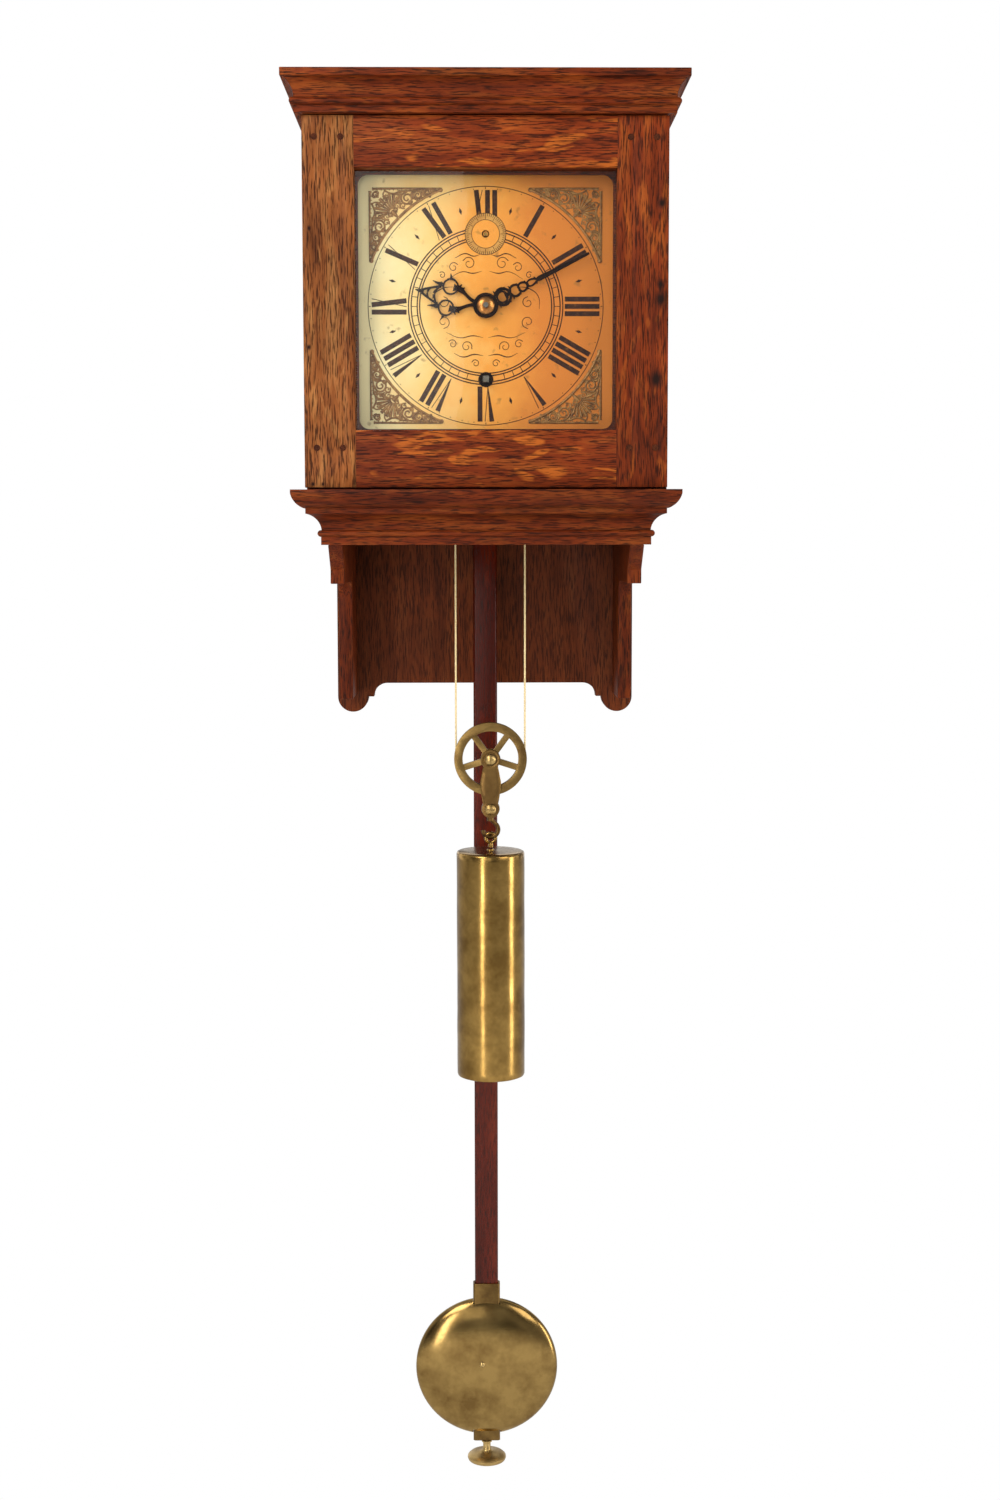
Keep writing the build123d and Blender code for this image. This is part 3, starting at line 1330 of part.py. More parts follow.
rod_foot_z = shelf_z - rod_bottom_drop
with BuildPart() as pendulum_rod:
    with BuildSketch(Plane.XY.offset(rod_foot_z)):
        with Locations((0, -pendulum_depth)):
            Rectangle(rod_width, rod_thickness)
    extrude(amount=rod_top_z - rod_foot_z)
    chamfer(pendulum_rod.edges().filter_by(Axis.Z), rod_chamfer)
write(pendulum_rod.part, "pendulum_rod")

with BuildPart() as rating_screw:
    with BuildSketch(Plane.XY.offset(shelf_z - rating_screw_bottom_drop)):
        with Locations((0, -pendulum_depth)):
            Circle(rating_screw_radius)
    extrude(amount=rating_screw_bottom_drop - rod_bottom_drop)
write(rating_screw.part, "rating_screw")

sleeve_foot_z = shelf_z - sleeve_bottom_drop
sleeve_length = sleeve_bottom_drop - sleeve_top_drop
with BuildPart() as bob_sleeve:
    with BuildSketch(Plane.XY.offset(sleeve_foot_z)):
        with Locations((0, -pendulum_depth)):
            Rectangle(sleeve_width, sleeve_thickness)
            Circle(rating_screw_radius + running_clearance, mode=Mode.SUBTRACT)
    extrude(amount=sleeve_length)
    chamfer(bob_sleeve.edges().filter_by(Axis.Z).filter_by(GeomType.LINE), sleeve_chamfer)
    with BuildSketch(Plane.XY.offset(sleeve_foot_z + sleeve_floor)):
        with Locations((0, -pendulum_depth)):
            Rectangle(rod_width + 2 * sleeve_clearance, rod_thickness + 2 * sleeve_clearance)
    extrude(amount=sleeve_length - sleeve_floor, mode=Mode.SUBTRACT)
write(bob_sleeve.part, "bob_sleeve")

bob_z = shelf_z - bob_drop
with BuildPart() as bob:
    with BuildSketch(Plane(origin=(0, -pendulum_depth, bob_z), x_dir=(1, 0, 0), z_dir=(0, 0, 1))):
        with BuildLine():
            ThreePointArc(
                (0, -bob_thickness / 2),
                (bob_radius / 2, -bob_edge / 2 - (bob_thickness - bob_edge) * bob_swell / 2),
                (bob_radius, -bob_edge / 2),
            )
            Line((bob_radius, -bob_edge / 2), (bob_radius, bob_edge / 2))
            ThreePointArc(
                (bob_radius, bob_edge / 2),
                (bob_radius / 2, bob_edge / 2 + (bob_thickness - bob_edge) * bob_swell / 2),
                (0, bob_thickness / 2),
            )
            Line((0, bob_thickness / 2), (0, -bob_thickness / 2))
        make_face()
    revolve(axis=Axis(origin=(0, 0, bob_z), direction=(0, 1, 0)))
    with BuildSketch(Plane.XY.offset(bob_z - 2 * bob_radius)):
        with Locations((0, -pendulum_depth)):
            Rectangle(sleeve_width, sleeve_thickness)
    extrude(amount=4 * bob_radius, mode=Mode.SUBTRACT)
write(bob.part, "bob")

nut_top_z = shelf_z - rating_nut_drop
with BuildPart() as rating_nut:
    with BuildSketch(Plane.XY.offset(nut_top_z - rating_nut_thickness)):
        with Locations((0, -pendulum_depth)):
            Circle(rating_nut_radius)
    extrude(amount=rating_nut_thickness)
    fillet(rating_nut.edges(), nut_round)
    with BuildSketch(Plane.XY.offset(nut_top_z)):
        with Locations((0, -pendulum_depth)):
            Circle(rating_hub_radius)
    extrude(amount=sleeve_foot_z - nut_gap - nut_top_z)
    with BuildSketch(Plane.XY.offset(nut_top_z - rating_nut_thickness)):
        with Locations((0, -pendulum_depth)):
            Circle(rating_screw_radius + running_clearance)
    extrude(amount=sleeve_foot_z - nut_top_z + rating_nut_thickness, mode=Mode.SUBTRACT)
write(rating_nut.part, "rating_nut")
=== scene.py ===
import json
import math
import bpy
from mathutils import Matrix, Vector

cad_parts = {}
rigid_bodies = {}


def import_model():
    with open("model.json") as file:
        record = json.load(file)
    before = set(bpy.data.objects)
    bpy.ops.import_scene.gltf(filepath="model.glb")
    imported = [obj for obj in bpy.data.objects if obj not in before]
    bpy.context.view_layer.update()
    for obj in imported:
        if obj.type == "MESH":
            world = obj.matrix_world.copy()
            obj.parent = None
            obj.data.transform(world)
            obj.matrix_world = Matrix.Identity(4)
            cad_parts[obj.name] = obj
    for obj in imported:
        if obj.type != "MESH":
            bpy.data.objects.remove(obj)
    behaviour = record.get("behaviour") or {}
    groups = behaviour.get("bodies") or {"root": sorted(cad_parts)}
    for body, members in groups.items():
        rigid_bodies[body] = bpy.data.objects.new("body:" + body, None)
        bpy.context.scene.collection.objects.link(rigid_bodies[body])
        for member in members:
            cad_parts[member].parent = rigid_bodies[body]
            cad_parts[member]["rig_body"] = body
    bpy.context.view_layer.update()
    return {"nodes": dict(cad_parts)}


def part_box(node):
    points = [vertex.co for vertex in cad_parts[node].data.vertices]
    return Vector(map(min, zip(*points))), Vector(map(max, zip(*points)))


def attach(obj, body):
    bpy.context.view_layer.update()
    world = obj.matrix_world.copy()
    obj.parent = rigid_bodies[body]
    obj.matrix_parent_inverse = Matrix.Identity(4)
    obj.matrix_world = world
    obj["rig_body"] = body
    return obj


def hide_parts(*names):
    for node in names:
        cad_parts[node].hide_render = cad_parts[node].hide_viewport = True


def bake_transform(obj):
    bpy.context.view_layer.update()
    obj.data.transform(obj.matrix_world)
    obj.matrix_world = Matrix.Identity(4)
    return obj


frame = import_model()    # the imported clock: metres, Z up, dial facing -Y, origin at the hanging hole
mm = 0.001
print("frame loaded with", len(frame["nodes"]), "nodes")

# camera, at the photograph's place and angle
photoCamera = {
    "place": (-0.0116, -1.856, -0.3007),
    "yaw": 0.0135,         # radians, towards +X
    "pitch": 0.1007,       # radians, downwards
    "roll": -0.0014,
    "lens": 49.92,         # mm, on a 36 mm long side
}
cameraData = bpy.data.cameras.new("photoCamera")
cameraData.lens = photoCamera["lens"]
cameraData.sensor_width = 36
camera = bpy.data.objects.new("photoCamera", cameraData)
bpy.context.collection.objects.link(camera)
camera.matrix_world = (
    Matrix.Translation(photoCamera["place"])
    @ Matrix.Rotation(-photoCamera["yaw"], 4, "Z")
    @ Matrix.Rotation(math.pi / 2 - photoCamera["pitch"], 4, "X")
    @ Matrix.Rotation(photoCamera["roll"], 4, "Z")
)
bpy.context.scene.camera = camera
bpy.context.scene.view_settings.view_transform = "Standard"


# small helpers
def deselectAll():
    for item in bpy.context.selected_objects:
        item.select_set(False)


def pick(*items):
    deselectAll()
    for item in items:
        item.select_set(True)
    bpy.context.view_layer.objects.active = items[0]


def linearColour(hexText):
    channels = []
    for start in (1, 3, 5):
        value = int(hexText[start:start + 2], 16) / 255
        channels.append(value / 12.92 if value <= 0.04045 else ((value + 0.055) / 1.055) ** 2.4)
    return (*channels, 1.0)


def addNode(material, kind, inputs=None, steps=(), **settings):
    made = material.node_tree.nodes.new(kind)
    for name, value in settings.items():
        setattr(made, name, value)
    for name, value in (inputs or {}).items():
        if isinstance(value, bpy.types.Node):
            value = value.outputs[0]       # a node stands for its first output
        if isinstance(value, bpy.types.NodeSocket):
            material.node_tree.links.new(value, made.inputs[name])
        else:
            made.inputs[name].default_value = value
    if steps:                              # a ramp's places, each with a hex colour or a grey
        points = made.color_ramp.elements
        while len(points) < len(steps):
            points.new(0.5)
        for point, (place, colour) in zip(points, steps):
            point.position = place
            point.color = linearColour(colour) if isinstance(colour, str) else (*[colour] * 3, 1)
    return made


def newMaterial(name):
    material = bpy.data.materials.new(name)
    material.use_nodes = True
    material.node_tree.nodes.clear()
    return material


def closeMaterial(material, shader):
    addNode(material, "ShaderNodeOutputMaterial", {"Surface": shader})
    return material


# oak and other woods
oakLook = {
    "dark": "#4c1907", "middle": "#7a2f0d", "light": "#94491a",   # waxed, reddish brown
    "fleck": "#a6561b",            # medullary rays that catch the light on quarter-sawn faces
    "pore": "#200a03", "knot": "#1d0c07",
    "poreWidth": 0.75,             # mm, real pores are 0.3; drawn wider so that they show
    "poreLength": 11.0,            # mm
    "bandWidth": 9.0,              # mm, between growth bands
    "rays": (26, 105, 105),        # flakes to the metre, along the grain and across it
    "rayLean": 0.5,                # radians
    "sway": 0.02,                  # metres that the grain wanders
    "knotPlane": -0.236,           # metres, the front of the door
}


def makeOak(name, grain, shift, look, flecks, tone=1.0, knots=(), gloss=0.42, polish=0.09):
    oak = newMaterial(name)
    place = addNode(oak, "ShaderNodeTexCoord").outputs["Object"]
    turn = {"Z": (0, math.pi / 2, 0), "X": (0, 0, 0), "Y": (0, 0, math.pi / 2)}[grain]
    along = addNode(oak, "ShaderNodeMapping", {
        "Vector": place, "Rotation": turn, "Location": (shift, shift * 0.7, shift * 1.3)})
    sway = addNode(oak, "ShaderNodeTexNoise", {"Vector": along, "Scale": 9.0, "Detail": 2.0})
    swayed = addNode(oak, "ShaderNodeVectorMath", {
        0: sway.outputs["Color"], 1: (0.0, look["sway"], look["sway"])}, operation="MULTIPLY")
    bent = addNode(oak, "ShaderNodeVectorMath", {0: along, 1: swayed}, operation="ADD")
    stretched = addNode(oak, "ShaderNodeMapping", {"Vector": bent, "Scale": (0.09, 1, 1)})
    bands = addNode(oak, "ShaderNodeTexNoise", {
        "Vector": stretched, "Scale": 1000 / look["bandWidth"], "Detail": 5.0, "Roughness": 0.6})
    ground = addNode(oak, "ShaderNodeValToRGB", {"Fac": bands}, (
        (0.28, look["dark"]), (0.5, look["middle"]), (0.72, look["light"])))
    cloud = addNode(oak, "ShaderNodeTexNoise", {"Vector": along, "Scale": 14.0, "Detail": 3.0})
    shade = addNode(oak, "ShaderNodeValToRGB", {"Fac": cloud}, ((0.3, 0.62), (0.7, 1.0)))
    # rays: short slanted flakes, lighter than the ground
    slanted = addNode(oak, "ShaderNodeMapping", {
        "Vector": bent, "Rotation": (0, look["rayLean"], look["rayLean"]), "Scale": look["rays"]})
    rays = addNode(oak, "ShaderNodeTexNoise", {
        "Vector": slanted, "Scale": 1.0, "Detail": 1.5, "Distortion": 0.8})
    rayMask = addNode(oak, "ShaderNodeValToRGB", {"Fac": rays}, ((0.58, 0.0), (0.66, flecks)))
    # pores: fine dark dashes along the grain
    across = 1000 / look["poreWidth"]
    dashes = addNode(oak, "ShaderNodeMapping", {
        "Vector": along, "Scale": (1000 / look["poreLength"], across, across)})
    pores = addNode(oak, "ShaderNodeTexNoise", {"Vector": dashes, "Scale": 1.0, "Detail": 2.0})
    poreMask = addNode(oak, "ShaderNodeValToRGB", {"Fac": pores}, ((0.50, 0.0), (0.60, 0.85)))
    layers = [(1.0, shade, "MULTIPLY"), (rayMask, linearColour(look["fleck"]), "MIX"),
              (poreMask, linearColour(look["pore"]), "MIX")]
    for x, z, radius in knots:
        reach = addNode(oak, "ShaderNodeVectorMath", {0: place, 1: (x, look["knotPlane"], z)},
                        operation="SUBTRACT")
        flat = addNode(oak, "ShaderNodeVectorMath", {0: reach, 1: (1, 0.3, 0.8)},
                       operation="MULTIPLY")
        away = addNode(oak, "ShaderNodeVectorMath", {0: flat}, operation="LENGTH")
        ragged = addNode(oak, "ShaderNodeMath", {0: away.outputs["Value"], 1: sway},
                         operation="MULTIPLY")
        near = addNode(oak, "ShaderNodeMath", {0: ragged, 1: 1 / radius}, operation="MULTIPLY")
        spot = addNode(oak, "ShaderNodeValToRGB", {"Fac": near}, ((0.2, 1.0), (0.8, 0.0)))
        layers.append((spot, linearColour(look["knot"]), "MIX"))
    layers.append((1.0, (tone, tone, tone, 1), "MULTIPLY"))
    for factor, colour, how in layers:
        ground = addNode(oak, "ShaderNodeMix", {0: factor, 6: ground, 7: colour},
                         data_type="RGBA", blend_type=how).outputs[2]
    sheen = addNode(oak, "ShaderNodeMapRange", {
        "Value": pores, "To Min": gloss, "To Max": gloss + 0.2})
    relief = addNode(oak, "ShaderNodeBump", {
        "Height": pores, "Strength": 0.25, "Distance": 0.0004}, invert=True)
    shader = addNode(oak, "ShaderNodeBsdfPrincipled", {
        "Base Color": ground, "Roughness": sheen, "Normal": relief, "Specular IOR Level": polish})
    return closeMaterial(oak, shader)


# metals: worn surfaces, given by a bright and a dull colour and the size of the tarnish in mm
def makeMetal(name, bright, dull, roughness, patchSize, metallic=1.0):
    metal = newMaterial(name)
    place = addNode(metal, "ShaderNodeTexCoord").outputs["Object"]
    patches = addNode(metal, "ShaderNodeTexNoise", {
        "Vector": place, "Scale": 1000 / patchSize, "Detail": 5.0, "Roughness": 0.65})
    colour = addNode(metal, "ShaderNodeValToRGB", {"Fac": patches}, ((0.35, dull), (0.62, bright)))
    streaks = addNode(metal, "ShaderNodeMapping", {"Vector": place, "Scale": (60, 60, 900)})
    fine = addNode(metal, "ShaderNodeTexNoise", {"Vector": streaks, "Scale": 1.0, "Detail": 3.0})
    rough = addNode(metal, "ShaderNodeMapRange", {
        "Value": patches, "To Min": roughness + 0.18, "To Max": roughness - 0.05})
    relief = addNode(metal, "ShaderNodeBump", {
        "Height": fine, "Strength": 0.05, "Distance": 0.0003})
    shader = addNode(metal, "ShaderNodeBsdfPrincipled", {
        "Base Color": colour, "Metallic": metallic, "Roughness": rough, "Normal": relief})
    return closeMaterial(metal, shader)


pulleyBronze = makeMetal("pulleyBronze", "#836a3e", "#654d2c", 0.34, 18)     # cast, worn smooth
turnedBrass = makeMetal("turnedBrass", "#b59a66", "#937645", 0.3, 20)        # clean and bright
cutBrass = makeMetal("cutBrass", "#c8a560", "#a98544", 0.32, 24)             # filed, even sheen
darkSteel = makeMetal("darkSteel", "#2c1c16", "#1c1210", 0.38, 9)            # blued, nearly black
softSteel = makeMetal("softSteel", "#8a8580", "#6a635c", 0.34, 12)           # filed, grey
blackIron = makeMetal("blackIron", "#3a3532", "#231f1d", 0.55, 8)            # forged, dull
colletBrass = makeMetal("colletBrass", "#c98a4c", "#9a5c2c", 0.28, 6)        # turned, coppery
strapBrass = makeMetal("strapBrass", "#7a5e36", "#604829", 0.36, 22)         # bent strip, brown
weightBrass = makeMetal("weightBrass", "#a08047", "#765a2e", 0.15, 26)       # polished, mirrors
bobBrass = makeMetal("bobBrass", "#977c4a", "#6f5630", 0.11, 30)             # spun and polished
secondsBrass = makeMetal("secondsBrass", "#d29c50", "#b67c38", 0.4, 12, 0.3)    # turned, matt
scrollBrass = makeMetal("scrollBrass", "#a97a42", "#6a4220", 0.4, 5.0, 0.35)    # cast, with dark and bright speckle laid at random
ferruleBrass = makeMetal("ferruleBrass", "#7c6238", "#5c4628", 0.36, 16)     # folded sheet, brown
hookBrass = makeMetal("hookBrass", "#6e5430", "#46321c", 0.36, 8)            # drawn wire, tarnished


def makeDialBrass():
    brass = newMaterial("dialBrass")           # brushed sheet with tarnish patches; its pale left and orange right are a painted reflection, its pale colours painted light
    place = addNode(brass, "ShaderNodeTexCoord").outputs["Object"]
    patches = addNode(brass, "ShaderNodeTexNoise", {
        "Vector": place, "Scale": 14.0, "Detail": 5.0, "Roughness": 0.7})
    sides = addNode(brass, "ShaderNodeSeparateXYZ", {"Vector": place})
    # painted reflection: the colour runs along X from pale at the left to orange at the right, where
    # the room's reflection lies on the sheet
    across = addNode(brass, "ShaderNodeMapRange", {
        "Value": sides.outputs["X"], "From Min": -0.1, "From Max": 0.09})
    tarnishAndPaintedReflection = addNode(brass, "ShaderNodeMath", {0: patches, 1: 0.5, 2: across},
                     operation="MULTIPLY_ADD")
    # painted light: the ramp is paler than the brass itself, to offset the shade of the hood over the
    # dial
    colour = addNode(brass, "ShaderNodeValToRGB", {"Fac": tarnishAndPaintedReflection}, (
        (0.3, "#f8e6b4"), (0.58, "#f6c678"), (0.78, "#f2a042"), (1.0, "#d97f30")))
    spots = addNode(brass, "ShaderNodeTexNoise", {"Vector": place, "Scale": 130.0, "Detail": 2.0})
    mask = addNode(brass, "ShaderNodeValToRGB", {"Fac": spots}, ((0.66, 0.0), (0.76, 0.5)))
    spotted = addNode(brass, "ShaderNodeMix", {0: mask, 6: colour, 7: linearColour("#8a6030")},
                      data_type="RGBA").outputs[2]
    brushed = addNode(brass, "ShaderNodeMapping", {"Vector": place, "Scale": (90, 90, 2600)})
    fine = addNode(brass, "ShaderNodeTexNoise", {"Vector": brushed, "Scale": 1.0, "Detail": 2.0})
    relief = addNode(brass, "ShaderNodeBump", {
        "Height": fine, "Strength": 0.06, "Distance": 0.0002})
    shader = addNode(brass, "ShaderNodeBsdfPrincipled", {
        "Base Color": spotted, "Metallic": 0.4, "Roughness": 0.36, "Normal": relief})
    return closeMaterial(brass, shader)


def makeWax():
    wax = newMaterial("engraversWax")          # dark wax in the engraving, rubbed thin in places
    place = addNode(wax, "ShaderNodeTexCoord").outputs["Object"]
    worn = addNode(wax, "ShaderNodeTexNoise", {"Vector": place, "Scale": 300.0, "Detail": 3.0})
    colour = addNode(wax, "ShaderNodeValToRGB", {"Fac": worn}, (
        (0.4, "#2c1209"), (0.62, "#40200f"), (0.8, "#74491f")))
    relief = addNode(wax, "ShaderNodeBump", {"Height": worn, "Strength": 0.2, "Distance": 0.0002})
    shader = addNode(wax, "ShaderNodeBsdfPrincipled", {
        "Base Color": colour, "Roughness": 0.6, "Specular IOR Level": 0.2, "Normal": relief})
    return closeMaterial(wax, shader)


def makeGlass():
    glass = newMaterial("windowGlass")         # thin crown glass: clear, with a faint ripple
    place = addNode(glass, "ShaderNodeTexCoord").outputs["Object"]
    ripple = addNode(glass, "ShaderNodeTexNoise", {"Vector": place, "Scale": 18.0})
    relief = addNode(glass, "ShaderNodeBump", {
        "Height": ripple, "Strength": 0.08, "Distance": 0.002})
    clear = addNode(glass, "ShaderNodeBsdfTransparent", {"Color": (0.97, 0.98, 0.96, 1)})
    gloss = addNode(glass, "ShaderNodeBsdfGlossy", {"Roughness": 0.02, "Normal": relief})
    facing = addNode(glass, "ShaderNodeFresnel", {"IOR": 1.5})
    inside = addNode(glass, "ShaderNodeNewGeometry").outputs["Backfacing"]
    outside = addNode(glass, "ShaderNodeMath", {0: 1.0, 1: inside}, operation="SUBTRACT")
    mirrored = addNode(glass, "ShaderNodeMath", {0: facing, 1: outside},
                       operation="MULTIPLY")    # the far face must not mirror the inside
    shader = addNode(glass, "ShaderNodeMixShader", {0: mirrored, 1: clear, 2: gloss})
    return closeMaterial(glass, shader)


def makeCord():
    cord = newMaterial("linenCord")            # laid line, yellowed by oil
    place = addNode(cord, "ShaderNodeTexCoord").outputs["Object"]
    fibres = addNode(cord, "ShaderNodeTexNoise", {"Vector": place, "Scale": 2500.0})
    colour = addNode(cord, "ShaderNodeValToRGB", {"Fac": fibres}, (
        (0.35, "#b99a5c"), (0.65, "#efe0b4")))
    relief = addNode(cord, "ShaderNodeBump", {
        "Height": fibres, "Strength": 0.4, "Distance": 0.0002})
    shader = addNode(cord, "ShaderNodeBsdfPrincipled", {
        "Base Color": colour, "Roughness": 0.8, "Normal": relief})
    return closeMaterial(cord, shader)


dialBrass = makeDialBrass()
engravingWax = makeWax()
windowGlass = makeGlass()
linenCord = makeCord()
print("materials ready")


# finishing a piece: place applied, edges smoothed, then named, dressed and hung on its body
def finishPiece(piece, name, material, body, smooth=35):
    pick(piece)
    bpy.ops.object.transform_apply()
    piece.name = name
    piece.data.name = name
    piece.data.materials.clear()
    piece.data.materials.append(material)
    bpy.ops.object.shade_smooth_by_angle(angle=math.radians(smooth))
    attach(piece, body)
    return piece


def modify(piece, kind, **settings):
    pick(piece)
    modifier = piece.modifiers.new("work", kind)
    for name, value in settings.items():
        setattr(modifier, name, value)
    bpy.ops.object.modifier_apply(modifier="work")
    return piece


def wornCopy(node, name, material, wear):
    source = frame["nodes"][node]
    piece = source.copy()
    piece.data = source.data.copy()
    piece.parent = None
    for key in [key for key in piece.keys() if key.startswith("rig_")]:
        del piece[key]
    bpy.context.collection.objects.link(piece)
    pick(piece)
    bpy.ops.object.mode_set(mode="EDIT")
    bpy.ops.mesh.select_all(action="SELECT")
    bpy.ops.mesh.remove_doubles(threshold=2e-6)
    bpy.ops.mesh.dissolve_limited(angle_limit=math.radians(1))
    bpy.ops.object.mode_set(mode="OBJECT")
    modify(piece, "BEVEL", width=wear * mm, segments=2, limit_method="ANGLE",
           angle_limit=math.radians(30), harden_normals=False)
    finishPiece(piece, name, material, source["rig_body"])
    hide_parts(node)


# case and hood: the joiner's pieces, with worn edges
doorKnots = ((0.1346, -0.045, 0.0030), (0.1340, -0.106, 0.0026), (0.1343, -0.117, 0.0042),
             (0.1308, -0.178, 0.0046))
# painted sheen: the left stile's paler, greyer look stands for the glancing light that falls on that
# side of the door
paintedSheenLook = dict(oakLook, dark="#5c2f15", middle="#8e5127", light="#a8703e", fleck="#ad7843")
boardLook = dict(oakLook, dark="#5c280f", middle="#753515", light="#85441f", pore="#3a1809")
doorSpots = ((-0.1348, -0.064, 0.0014), (-0.1358, -0.1535, 0.0014), (-0.1338, -0.2577, 0.0012),
             (-0.1261, -0.2577, 0.0012))
woodPieces = {            # node: name, grain, shift, flecks, tone, knots, wear in mm
    "backboard": ("backBoard", "Z", 3.1, 0.0, 0.7, (), 0.8),
    "shelf_frame": ("shelfFrame", "X", 4.2, 0.1, 0.7, (), 0.6),
    "shelf_moulding_front": ("shelfMoulding", "X", 5.3, 0.15, 0.78, (), 0.6),
    "shelf_moulding_returns": ("shelfReturns", "Y", 6.1, 0.15, 0.78, (), 0.6),
    "bracket_left": ("bracketLeft", "Z", 7.7, 0.1, 0.75, (), 0.7),
    "bracket_right": ("bracketRight", "Z", 8.2, 0.1, 0.7, (), 0.7),
    "seatboard_cheeks": ("seatboardCheeks", "Y", 9.4, 0.0, 0.6, (), 0.4),
    "seatboard": ("seatBoard", "X", 10.1, 0.0, 0.65, (), 0.4),
    "hood_side_left": ("hoodSideLeft", "Z", 11.3, 0.3, 0.8, (), 0.6),
    "hood_side_right": ("hoodSideRight", "Z", 12.9, 0.3, 0.8, (), 0.6),
    "hood_top": ("hoodTop", "X", 13.4, 0.0, 0.7, (), 0.5),
    "cornice_front": ("corniceFront", "X", 14.8, 0.25, 0.85, (), 0.6),
    "cornice_returns": ("corniceReturns", "Y", 15.5, 0.2, 0.85, (), 0.6),
    "dial_mask": ("dialMask", "X", 16.6, 0.0, 0.6, (), 0.3),
    "door_stile_left": ("doorStileLeft", "Z", 17.2, 0.35, 1.0, doorSpots, 0.9),
    "door_stile_right": ("doorStileRight", "Z", 18.9, 0.3, 0.95, doorKnots, 0.9),
    "door_rail_top": ("doorRailTop", "X", 19.3, 0.75, 1.0, (), 0.7),
    "door_rail_bottom": ("doorRailBottom", "X", 20.7, 0.8, 1.0, (), 0.7),
    "glazing_beads": ("glazingBeads", "X", 21.1, 0.1, 0.75, (), 0.3),
}
for node, (name, grain, shift, flecks, tone, knots, wear) in woodPieces.items():
    # the left stile takes the painted sheen of glancing light
    look = {"backboard": boardLook, "door_stile_left": paintedSheenLook}.get(node, oakLook)
    wornCopy(node, name, makeOak(name + "Oak", grain, shift, look, flecks, tone, knots), wear)
rodLook = dict(oakLook, dark="#3c0e04", middle="#561708", light="#6c250e", pore="#280802",
               bandWidth=14.0)
rodWood = makeOak("rodMahogany", "Z", 23.0, rodLook, flecks=0.0, gloss=0.16, polish=0.2)
wornCopy("pendulum_rod", "pendulumRod", rodWood, 0.3)
pegLook = dict(oakLook, dark="#34160b", middle="#4c230f", light="#643016")
pegWood = makeOak("pegOak", "Y", 25.0, pegLook, flecks=0.0)
print("wooden pieces ready")

# metal and glass nodes whose CAD shape is right
dressed = (
    (pegWood, ("door_pegs",)),
    (cutBrass, ("front_plate", "back_plate", "plate_pillars", "back_cock", "barrel",
                "great_wheel", "third_wheel", "escape_wheel", "cannon_wheel", "minute_wheel",
                "hour_wheel")),
    (dialBrass, ("dial_plate",)),
    (softSteel, ("barrel_arbor", "click_work", "centre_wheel", "pallets", "crutch",
                 "pulley_axle", "suspension_spring", "rating_screw", "seatboard_bolts")),
    (darkSteel, ("door_pivots",)),
    (blackIron, ("hanging_plate", "weight_core")),
    (windowGlass, ("door_glass",)),
)
for material, nodes in dressed:
    for node in nodes:
        mesh = frame["nodes"][node].data
        mesh.materials.clear()
        mesh.materials.append(material)
wornCopy("pulley_wheel", "pulleyWheel", pulleyBronze, 0.35)
wornCopy("pulley_stirrup", "pulleyStirrup", strapBrass, 0.35)
wornCopy("weight_hook", "weightHook", hookBrass, 0.2)
wornCopy("bob_sleeve", "bobSleeve", ferruleBrass, 0.4)


# modelling: in millimetres on a drawing plane, then laid where it belongs
def newPiece(kind, **settings):
    deselectAll()
    getattr(bpy.ops.mesh, "primitive_" + kind + "_add")(**settings)
    return bpy.context.object


def copyAt(master, placement):
    made = master.copy()
    made.data = master.data.copy()
    bpy.context.collection.objects.link(made)
    made.matrix_world = placement
    return made


def joinAll(pieces):
    bpy.context.view_layer.update()
    pick(*pieces)
    bpy.ops.object.transform_apply()
    bpy.ops.object.join()
    return bpy.context.object


def dropPiece(piece):
    bpy.data.objects.remove(piece)


def thicken(piece, thickness):
    return modify(piece, "SOLIDIFY", thickness=thickness, offset=1)


def turnPiece(profile, centre, axis=(0, -1, 0), steps=64):
    piece = newPiece("plane", size=1)
    bpy.ops.object.mode_set(mode="EDIT")
    bpy.ops.mesh.select_all(action="SELECT")
    bpy.ops.mesh.merge(type="CENTER")
    bpy.ops.transform.translate(value=(profile[0][0] * mm, 0, profile[0][1] * mm))
    for (fromRadius, fromHeight), (toRadius, toHeight) in zip(profile, profile[1:]):
        step = ((toRadius - fromRadius) * mm, 0, (toHeight - fromHeight) * mm)
        bpy.ops.mesh.extrude_vertices_move(TRANSFORM_OT_translate={"value": step})
    bpy.ops.mesh.select_all(action="SELECT")
    bpy.ops.mesh.spin(steps=steps, angle=2 * math.pi, center=(0, 0, 0), axis=(0, 0, 1))
    bpy.ops.mesh.select_all(action="SELECT")
    bpy.ops.mesh.remove_doubles(threshold=1e-6)
    bpy.ops.mesh.normals_make_consistent(inside=False)
    bpy.ops.object.mode_set(mode="OBJECT")
    lean = Vector((0, 0, 1)).rotation_difference(Vector(axis)).to_matrix().to_4x4()
    piece.matrix_world = Matrix.Translation(centre) @ lean
    return piece


def drawRibbons(strokes, roundness, fineness):
    data = bpy.data.curves.new("ribbons", "CURVE")
    data.dimensions = "3D"
    data.bevel_depth = 1.0
    data.bevel_resolution = roundness
    data.resolution_u = fineness
    data.use_fill_caps = True
    for points in strokes:
        closed = points[0] == points[-1]       # a stroke that ends where it starts is a ring
        spline = data.splines.new("BEZIER")
        spline.bezier_points.add(len(points) - (2 if closed else 1))
        for knot, (x, y, half) in zip(spline.bezier_points, points):
            knot.co = (x, y, 0)
            knot.radius = half
            knot.handle_left_type = "AUTO"
            knot.handle_right_type = "AUTO"
        spline.use_cyclic_u = closed
    piece = bpy.data.objects.new("ribbons", data)
    bpy.context.collection.objects.link(piece)
    pick(piece)
    bpy.ops.object.convert(target="MESH")
    return bpy.context.object


